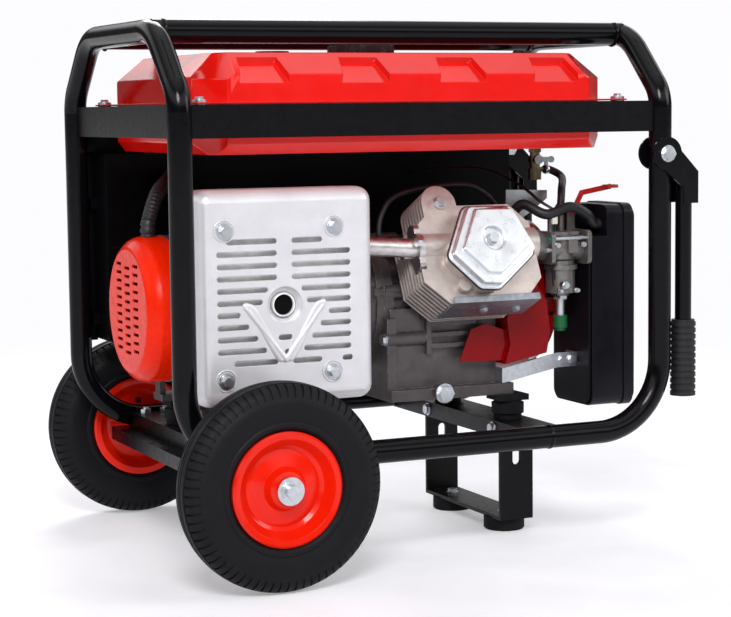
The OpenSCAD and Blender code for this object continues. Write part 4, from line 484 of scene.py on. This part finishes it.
def spring_clip(shape, spot, along, radius):
    """Hose clip: a sprung band with two ears pinched together."""
    along = Vector(along).normalized()
    ring(shape, at(*spot), along, (radius + 0.8) * MM, 0.7 * MM, turns=28, wide=2.6 * MM, sides=8)
    turn = along.to_track_quat("Z", "X").to_matrix().to_4x4()
    for gap in (-1.6, 1.6):
        ear = block(shape, (5.5, 0.9, 4.6), Vector((radius + 3.2, gap, 0)) * MM)
        bmesh.ops.transform(shape, matrix=Matrix.Translation(at(*spot)) @ turn, verts=ear)


clips = bmesh.new()
spring_clip(clips, (253, -96, 435), (0, 0, 1), 5.3)
spring_clip(clips, (268, -30, SPOUT_Z), (1, 0, 0), 5.3)

# ---------- engine castings ----------
# Pressure die-cast aluminium: grey-brown crankcase, paler barrel and head straight from the die,
# with the fine pebble of the mould and edges rubbed bright.

case_alloy = surface("die_cast_aluminium_case", "#554f50", 0.4, metallic=0.5, grain=0.55, grain_mm=1.0, mottle=0.16,
                     mottle_mm=26, worn="#a9a49f", edge_mm=1.4)
fin_alloy = surface("die_cast_aluminium_fins", "#c0b5af", 0.38, metallic=0.55, grain=0.45, grain_mm=0.9, mottle=0.12,
                    mottle_mm=18, worn="#d8d4d0", edge_mm=0.9)
paint(case_alloy, "crankcase")
paint(fin_alloy, "cylinder_barrel", "cylinder_head")
# Rocker cover: pressed steel, bright nickel-zinc plate.
bright_plate = surface("bright_nickel_plate", "#e3e6ea", 0.3, metallic=1.0, grain_mm=2.0, mottle=0.05, edge_mm=1.4)
rocker = piece("rocker_cover", merged("head_cover"), bright_plate, smooth=30, hides=["head_cover"])
round_off = rocker.modifiers.new("corner_radius", "BEVEL")
round_off.width = 1.9 * MM
round_off.segments = 4
round_off.limit_method = "ANGLE"
round_off.angle_limit = math.radians(30)
round_off.use_clamp_overlap = False
round_off.miter_outer = "MITER_ARC"
round_off.harden_normals = True
# Gasket: the cover's foot, cut off just above its lowest point, grown a little and thickened. Black rubber,
# so that it shows as a dark line round the joint.
FOOT_BAND, GASKET_GROWTH, GASKET_THICK = 0.4, 1.022, 2.2
seal = merged("head_cover")
# Direction of the slanted cylinder, from the crank to the cover.
out_of = Vector((0, -0.906, 0.4226))
foot = min(v.co.dot(out_of) for v in seal.verts)
bmesh.ops.delete(seal, geom=[v for v in seal.verts if v.co.dot(out_of) > foot + FOOT_BAND * MM], context="VERTS")
centre = sum((v.co for v in seal.verts), Vector()) / len(seal.verts)
for v in seal.verts:
    v.co = centre + (v.co - centre) * GASKET_GROWTH
grown = bmesh.ops.extrude_face_region(seal, geom=seal.faces[:])
risen = [v for v in grown["geom"] if isinstance(v, bmesh.types.BMVert)]
bmesh.ops.translate(seal, verts=risen, vec=out_of * GASKET_THICK * MM)
bmesh.ops.recalc_face_normals(seal, faces=seal.faces)
piece("cover_gasket", seal, hose_rubber, smooth=30)
# Air deflector folded from galvanised sheet below the head: dull grey with a faint spangle.
deflector_zinc = surface("galvanised_sheet", "#8b8f96", 0.38, metallic=0.9, grain=0.12, grain_mm=4.0, mottle=0.2,
                         mottle_mm=9)
paint(deflector_zinc, "deflector_plate")
paint(zinc_plate, "support_strap")

# ---------- plug lead ----------
# Rubber-covered ignition lead with a moulded boot pushed onto the spark plug. It is held only at its
# two ends and loops over the cylinder between them.

PLUG = (15, -84, 400)
LEAD_ROUTE = [(-4, -84, 400), (-14, -83, 409), (-8, -79, 436), (14, -74, 459), (68, -70, 470), (130, -66, 470),
              (174, -52, 444.3), (176, -50, 423.3), (176, -50, 418.4)]
lead = hose(bmesh.new(), LEAD_ROUTE, 3.7, sides=12)
# The boot: a tapered sleeve with ribs, each given by its place along the sleeve and its radius.
RIB = 2.4
for offset, radius in ((-0.5, 7.4), (-4, 8.0), (-8, 7.4), (-12, 7.8), (-16, 7.0), (-19, 5.6)):
    ring(lead, at(PLUG[0] + offset, PLUG[1], PLUG[2]), (1, 0, 0), (radius - RIB) * MM, RIB * MM, turns=32,
         wide=2.3 * MM)
sideways = Euler((0, math.radians(-90), 0)).to_matrix().to_4x4()
bmesh.ops.create_cone(lead, cap_ends=True, segments=28, radius1=6.4 * MM, radius2=5.4 * MM, depth=19 * MM,
                      matrix=Matrix.Translation(at(PLUG[0] - 10, PLUG[1], PLUG[2])) @ sideways)
piece("ignition_lead", lead, hose_rubber, hides=["spark_plug_lead"])

# ---------- exhaust ----------
# Bare steel pipe dulled by heat and an aluminised muffler drum, with a bright shield pressed from
# sheet and bolted over the drum.

# The pipe mirrors its surroundings dimly, the drum is paler and nearly matt, and the shield has a
# satin shine.
pipe_steel = surface("heat_tinted_steel", "#cfcaca", 0.34, metallic=1.0, grain_mm=0.8, mottle=0.16, mottle_mm=16)
muffler_steel = surface("aluminised_steel", "#efedec", 0.4, metallic=0.2, grain=0.2, grain_mm=0.8, mottle=0.18,
                        mottle_mm=24)
shield_steel = surface("aluminium_coated_shield", "#dcdbde", 0.34, metallic=0.35, grain=0.14, grain_mm=0.6, mottle=0.05,
                       mottle_mm=40, edge_mm=1.8)
paint(pipe_steel, "exhaust_pipe")
paint(muffler_steel, "muffler")
paint(shield_steel, "heat_shield")


# Each length of a turned part reaches this much into the next.
OVERLAP = 1.02


def turned(shape, start, end, radii, sides=24):
    """A turned part between two points: one length per radius, stepped."""
    along = (end - start) / len(radii)
    turn = along.to_track_quat("Z", "X").to_matrix().to_4x4()
    for i, radius in enumerate(radii):
        bmesh.ops.create_cone(shape, cap_ends=True, segments=sides, radius1=radius * MM, radius2=radius * MM,
                              depth=along.length * OVERLAP, matrix=Matrix.Translation(start + along * (i + 0.5)) @ turn)


SHIELD = (-183, -180, 344)
SHIELD_BOLTS = ((-84, 84), (62, 86), (58, -96), (-84, -100))
# The stiffening V rolled into the shield: a rounded bead, pressed to half its height, with two round ends.
ribs = bmesh.new()
VEE_R, VEE_Y, PRESSED_Y, PRESSED = 5.4, -178.4, -179.2, 0.5
vee = [(SHIELD[0] + x, y, z) for x, y, z in (
    (-56, -178.6, 334), (-46, -178.6, 326), (-16, -178.4, 274), (-9, -178.2, 268.5),
    (-1, -178.2, 268.5), (6, -178.4, 274), (36, -178.6, 326), (46, -178.6, 334))]
hose(ribs, vee, VEE_R, step=2, sides=24)
for end in (vee[0], vee[-1]):
    bmesh.ops.create_uvsphere(ribs, u_segments=24, v_segments=16, radius=VEE_R * MM,
                              matrix=Matrix.Translation(at(*end)))
for v in ribs.verts:
    v.co.y = PRESSED_Y * MM + (v.co.y - VEE_Y * MM) * PRESSED
# Raised pads down the shield's folded left edge.
EDGE_X = SHIELD[0] - 118
for i in range(9):
    pad = block(ribs, (3.2, 13, 13), at(EDGE_X - 0.7, -156, 236 + i * 26))
    soften(ribs, list({e for v in pad for e in v.link_edges}), 1.3, segments=3)
# Dimples that seat the bolts.
for x, z in SHIELD_BOLTS:
    ring(ribs, at(SHIELD[0] + x, -180.1, SHIELD[2] + z), (0, 1, 0), 13.2 * MM, 1.0 * MM, turns=40, wide=1.4 * MM)
piece("shield_ribs", ribs, shield_steel, smooth=60)
# Flanged hexagon bolts that hold the shield to the drum: flange, collar, hexagon and turned top,
# each given by its two heights over the sheet, its radius and its sides.
BOLT_HEAD = ((0, 2.2, 10.2, 32), (1.8, 3.6, 8.6, 32), (3, 9.4, 7.0, 6), (9, 10, 5.6, 24))
heads = bmesh.new()
for x, z in SHIELD_BOLTS:
    foot = at(SHIELD[0] + x, -180.2, SHIELD[2] + z)
    for low, high, radius, sides in BOLT_HEAD:
        turned(heads, foot - Vector((0, low * MM, 0)), foot - Vector((0, high * MM, 0)), [radius], sides=sides)
bmesh.ops.recalc_face_normals(heads, faces=heads.faces)
piece("shield_bolt_heads", heads, zinc_plate, smooth=25)
# Soot inside the outlet: dead black and powdery.
soot = surface("exhaust_soot", "#0a0908", 0.9, grain=0.4, grain_mm=0.8, gloss=0.1)
lining = bmesh.new()
turned(lining, at(SHIELD[0] - 5, -172, 334), at(SHIELD[0] - 5, -130, 334), [12.6], sides=32)
piece("outlet_soot", lining, soot, smooth=30)

# ---------- carburettor and air cleaner ----------
# Die-cast zinc body and bowl between the cylinder and the air cleaner, with plated linkages. The
# air cleaner's case and cover are moulded in black polypropylene.

# Die-cast zinc: mid grey, lightly pebbled, half shiny.
carb_zinc = surface("die_cast_zinc", "#7f7c79", 0.34, metallic=0.7, grain=0.3, grain_mm=0.7, mottle=0.12,
                    mottle_mm=10, edge_mm=0.8)
paint(carb_zinc, "carburettor")
paint(zinc_plate, "throttle_plate", "fuel_solenoid")
# Nylon cap under the solenoid, dyed green: smooth, with a soft shine. It ends at this height.
green_nylon = surface("green_nylon", "#0b5a31", 0.4, grain=0.1, grain_mm=0.6, gloss=0.4)
CAP_TOP = 293.6
nodes["fuel_solenoid"].data.materials.append(green_nylon)
for face in nodes["fuel_solenoid"].data.polygons:
    if face.center.z < CAP_TOP * MM:
        face.material_index = 1

# Small parts on the carburettor: butterfly shaft, idle screw with its spring, gasket, jets and connector.
CARB = (243, -112, 386)


def carb_spot(x, y, z):
    return at(CARB[0] + x, CARB[1] + y, CARB[2] + z)


fittings = bmesh.new()
turned(fittings, carb_spot(-22, -24, 13), carb_spot(27, -24, 13), [2.6])
for x in (-20, 20):
    turned(fittings, carb_spot(x, -23, 4), carb_spot(x, -31, 4), [3.6, 3.6, 3.2])
turned(fittings, carb_spot(-24, -22, -2), carb_spot(-40, -30, -2), [1.6, 1.6, 3.4])
turned(fittings, carb_spot(-8, -20, -50), carb_spot(-8, -33, -50), [5.4, 5.4, 4.2], sides=6)
for x in (-13, 13):
    turned(fittings, carb_spot(x, -18, -58), carb_spot(x, -27, -58), [3.2, 2.6])
piece("carburettor_screws", fittings, zinc_plate, smooth=30)
spring = bmesh.new()
COIL_R, COIL_TURN = 2.6, 1.3
coil = [(CARB[0] - 25 - 1.4 * i / 4,
         CARB[1] - 22.5 - 0.7 * i / 4 + COIL_R * math.cos(i * COIL_TURN),
         CARB[2] - 2 + COIL_R * math.sin(i * COIL_TURN)) for i in range(34)]
piece("idle_spring", hose(spring, coil, 0.5, step=1.6, sides=6), zinc_plate)
brass_jets = bmesh.new()
turned(brass_jets, carb_spot(-27, -17, 4), carb_spot(-27, -25, 4), [3.4, 2.6])
piece("pilot_jet", brass_jets, tap_brass, smooth=30)
# The mixture screw's moulded seal, dull teal.
teal_cap = surface("teal_sealing_cap", "#0e7d7a", 0.4, grain=0.1, gloss=0.4)
seal = bmesh.new()
turned(seal, carb_spot(-27, -17, 12), carb_spot(-27, -24, 12), [3.2, 2.8])
piece("mixture_seal", seal, teal_cap, smooth=30)
# Gasket paper under the bowl's rim: dark and quite matt.
gasket_paper = surface("gasket_paper", "#2b2927", 0.8, grain=0.3, grain_mm=0.5, gloss=0.2)
seams = bmesh.new()
ring(seams, carb_spot(0, 0, -17), (0, 0, 1), 20.2 * MM, 0.8 * MM, turns=40, wide=1.0 * MM)
piece("bowl_gasket", seams, gasket_paper)

# Two thin wires with a white connector between the solenoid and the control box behind the engine.
# The connector is undyed nylon, milky and smooth; the wires are black PVC, half dull.
pale_nylon = surface("natural_nylon", "#dcd8cf", 0.4, grain=0.1, gloss=0.5)
plug_block = bmesh.new()
block(plug_block, (8, 6, 13), at(228, -122, 424))
soften(plug_block, plug_block.edges[:], 0.8)
piece("wire_connector", plug_block, pale_nylon, smooth=30)
wire_pvc = surface("black_pvc_wire", "#141315", 0.4, grain=0.05, gloss=0.3)
wires = bmesh.new()
for shift in (-1.6, 1.6):
    to_box = [(228 + shift, -122, 430), (226 + shift, -120, 438), (214 + shift, -106, 449), (200 + shift, -76, 470),
              (186, -6 + shift, 490), (166, 76 + shift, 492), (150 + shift, 138, 486), (150 + shift, 155.6, 482)]
    to_solenoid = [(228 + shift, -122, 418), (227 + shift, -124, 408), (222 + shift, -126, 380),
                   (226 + shift, -124, 345), (232 + shift, -118, 318)]
    for route in (to_box, to_solenoid):
        hose(wires, route, 1.2, step=4, sides=8)
piece("solenoid_wires", wires, wire_pvc)
# Air cleaner: black, moulded with a fine grain, softly shining on its rounded edges.
cleaner_plastic = surface("grained_polypropylene", "#100e14", 0.36, grain=0.3, grain_mm=0.9, mottle=0.1, mottle_mm=50,
                          gloss=0.18, edge_mm=2.2)
paint(cleaner_plastic, "air_cleaner_case", "air_cleaner_cover")

BREATHER_ROUTE = [(185, -84, 418.4), (185, -84, 423.3), (186, -87, 434.3), (195, -98, 444.3), (217, -120, 431),
                  (253, -121, 440), (281, -120, 428), (290.6, -120, 416), (299.6, -120, 416)]
piece("breather_line", hose(bmesh.new(), BREATHER_ROUTE, 6.9, sides=16), hose_rubber,
      hides=["breather_hose"])
spring_clip(clips, (185, -84, 425), (0, 0, 1), 6.9)
piece("hose_clips", clips, zinc_plate)

# ---------- fan shroud and recoil starter ----------
# Shroud and starter cover, both pressed from steel sheet, screwed together and sprayed deep red. The
# starter's grip is moulded plastic on a cord.

# Deep red enamel: smooth, with narrow highlights. Textured ABS: black and finely grained.
shroud_enamel = surface("deep_red_enamel", "#860309", 0.16, coat=0.05, gloss=0.14, grain=0.03, grain_mm=2.2,
                        mottle=0.08, edge_mm=1.2)
black_abs = surface("textured_abs", "#1d1c20", 0.44, grain=0.3, grain_mm=0.7, mottle=0.08, gloss=0.4)
paint(shroud_enamel, "fan_shroud", "recoil_cover")
paint(black_abs, "recoil_handle")
# Turned crankshaft and cast flywheel inside the shroud, dark with oil.
dark_steel = surface("oiled_dark_steel", "#5b5d60", 0.36, metallic=1.0, grain=0.12, grain_mm=0.6, mottle=0.2,
                     mottle_mm=14)
paint(dark_steel, "crankshaft", "flywheel")

# ---------- alternator ----------
# Stack of electrical-steel laminations clamped between cast aluminium brackets, with enamelled
# copper windings inside and an orange-red moulded cover over the outer bracket.

def ridged(material, waves, strength, depth):
    """Adds fine parallel ridges, set across the shaft's axis, over a finish's own grain."""
    tree = material.node_tree
    bump = next(n for n in tree.nodes if n.bl_idname == "ShaderNodeBump")
    shader = next(n for n in tree.nodes if n.bl_idname == "ShaderNodeBsdfPrincipled")
    place = add(tree, "TexCoord").outputs["Object"]
    ridges = add(tree, "TexWave", {"wave_type": "BANDS", "bands_direction": "X", **waves}, {"Vector": place})
    both = add(tree, "Bump", {"Strength": strength, "Distance": depth * MM},
               {"Height": ridges.outputs["Fac"], "Normal": bump.outputs["Normal"]})
    tree.links.new(both.outputs["Normal"], shader.inputs["Normal"])
    return material


# Half-millimetre steel sheets seen on edge, drawn four times as coarse so that they show: a scale
# of 157 sets a ridge every 2 mm.
sheets = surface("electrical_steel_stack", "#4a4b4f", 0.5, metallic=0.8, grain=0.2, grain_mm=0.8, mottle=0.15,
                 mottle_mm=30)
paint(ridged(sheets, {"Scale": 157.0, "Distortion": 0.0}, 0.5, 0.5), "stator", "rotor")
# Windings: 1.2 mm varnished wire laid side by side round the bore, which is a scale of 260.
copper = surface("varnished_copper", "#9c4a22", 0.28, metallic=0.85, coat=0.4, grain=0.1, grain_mm=0.6, mottle=0.2,
                 mottle_mm=8)
paint(ridged(copper, {"Scale": 260.0, "Distortion": 1.5, "Detail": 1.0}, 0.8, 0.6), "stator_windings")
paint(case_alloy, "alternator_housing", "end_bracket")
# Nylon dyed orange-red: even in colour, with a soft shine.
cover_plastic = surface("orange_red_nylon", "#ee2400", 0.26, gloss=0.14, grain=0.08, grain_mm=0.8, mottle=0.05,
                        edge_mm=0.6)
# The cover's shoulder is moulded as one soft curve.
cover = merged("end_cover")
axle_line = at(0, 14, 318)
# Its edges lie outside this radius, each in one plane across the axis.
SHOULDER_R, FLAT_WITHIN = 76, 0.2
shoulder = [e for e in creased(cover, 4, 70)
            if all(math.hypot(v.co.y - axle_line.y, v.co.z - axle_line.z) > SHOULDER_R * MM for v in e.verts)
            and abs(e.verts[0].co.x - e.verts[1].co.x) < FLAT_WITHIN * MM]
soften(cover, shoulder, 4.2, segments=4, clamp=True)
even_shading(piece("alternator_cover", cover, cover_plastic, smooth=50, hides=["end_cover"]))

BOX_FACE = 156
CONDUIT_ROUTE = [(-300, 14, 413.5), (-300, 14, 419.5), (-299, 15, 429.5), (-278, 40, 465.5),
                 (-238, BOX_FACE - 50, 483.5), (-220, BOX_FACE - 14, 485.5), (-220, BOX_FACE - 5, 485.5),
                 (-220, BOX_FACE - 0.4, 485.5)]
# Conduit for the wires to the control box: black nylon, corrugated all along, dull.
conduit_nylon = surface("split_nylon_conduit", "#1b1a1d", 0.5, grain=0.2, grain_mm=0.6, mottle=0.1)
conduit = hose(bmesh.new(), CONDUIT_ROUTE, 9.1, step=1.3, sides=20, ridge=0.9)
piece("corrugated_conduit", conduit, conduit_nylon, smooth=60, hides=["wiring_conduit"])

# ---------- control box ----------
# Box folded from steel sheet and screwed to the posts behind the engine, in satin black enamel. Its
# moulded face carries the meter, the sockets, the breaker and the key switch.

# Textured ABS, black and finely grained; the box's enamel is smoother, with a low shine.
panel_abs = surface("panel_abs", "#17171a", 0.4, grain=0.35, grain_mm=0.8, mottle=0.06, gloss=0.3, edge_mm=1.0)
box_enamel = surface("black_box_enamel", "#060507", 0.34, grain=0.1, grain_mm=1.0, mottle=0.1, gloss=0.07, edge_mm=0.8)
paint(box_enamel, "control_box")
paint(panel_abs, "control_face")
paint(black_abs, "panel_fittings", "breaker_lever")
paint(zinc_plate, "key_switch")

# Flanges by which the box is screwed to the posts and to the band over it.
lips = bmesh.new()
for middle, reach in (((-315, 219, 389), (12, 3, 262)), ((315, 219, 389), (12, 3, 262)), ((0, 219, 528), (640, 3, 26))):
    block(lips, reach, at(*middle))
soften(lips, lips.edges[:], 0.8)
piece("box_flanges", lips, box_enamel, smooth=30)

# Panel meter: a matt white card printed with division marks in flat black, and a thin needle.
BOX_Z = 261.5
METER = (-60, 228, BOX_Z + 196)
PIVOT_DROP, SCALE_R, NEEDLE = 11, 27, 24
dial_card = surface("printed_dial_card", "#e9e7e0", 0.7, grain=0.05, gloss=0.3)
dial = bmesh.new()
block(dial, (53, 0.8, 37), at(METER[0], METER[1] + 2.6, METER[2] + 3))
piece("meter_dial", dial, dial_card, smooth=0)
ink = surface("black_printing_ink", "#151515", 0.6, gloss=0.3)
marks = bmesh.new()


def stroke(width, length, reach, degrees, proud):
    """A thin bar on the dial, swung about the meter's pivot."""
    bar = block(marks, (width, 0.4, length), Vector((0, 0, reach)) * MM)
    bmesh.ops.rotate(marks, verts=bar, cent=(0, 0, 0), matrix=Matrix.Rotation(math.radians(degrees), 3, "Y"))
    bmesh.ops.translate(marks, verts=bar, vec=at(METER[0], METER[1] + proud, METER[2] - PIVOT_DROP))


# Every third division is long.
for i in range(13):
    long = 6 if i % 3 == 0 else 3.5
    stroke(0.7, long, SCALE_R - long / 2, -48 + i * 8, 3.2)
stroke(0.6, NEEDLE, NEEDLE / 2, -46, 3.4)
piece("meter_marks", marks, ink, smooth=0)
# Countersunk screws round the moulded face.
screws = bmesh.new()
for x in (-300, -150, 0, 150, 300):
    for z in (8, 248):
        spot = at(x, 225, BOX_Z + z)
        turned(screws, spot, spot + Vector((0, 1.6 * MM, 0)), [4.2, 3.4], sides=20)
piece("panel_screws", screws, zinc_plate, smooth=30)

# ---------- lifting handles ----------
# Steel tubes welded into forked brackets that swing on the posts, in the frame's black enamel, with
# rubber grips pushed onto them.

# Moulded rubber: dull black, softly lit on its ribs.
grip_rubber = surface("ribbed_grip_rubber", "#19181b", 0.58, grain=0.25, grain_mm=0.7, mottle=0.12, gloss=0.35,
                      edge_mm=1.0)
paint(black_enamel, "handle_near", "handle_far")
paint(grip_rubber, "grip_near", "grip_far")
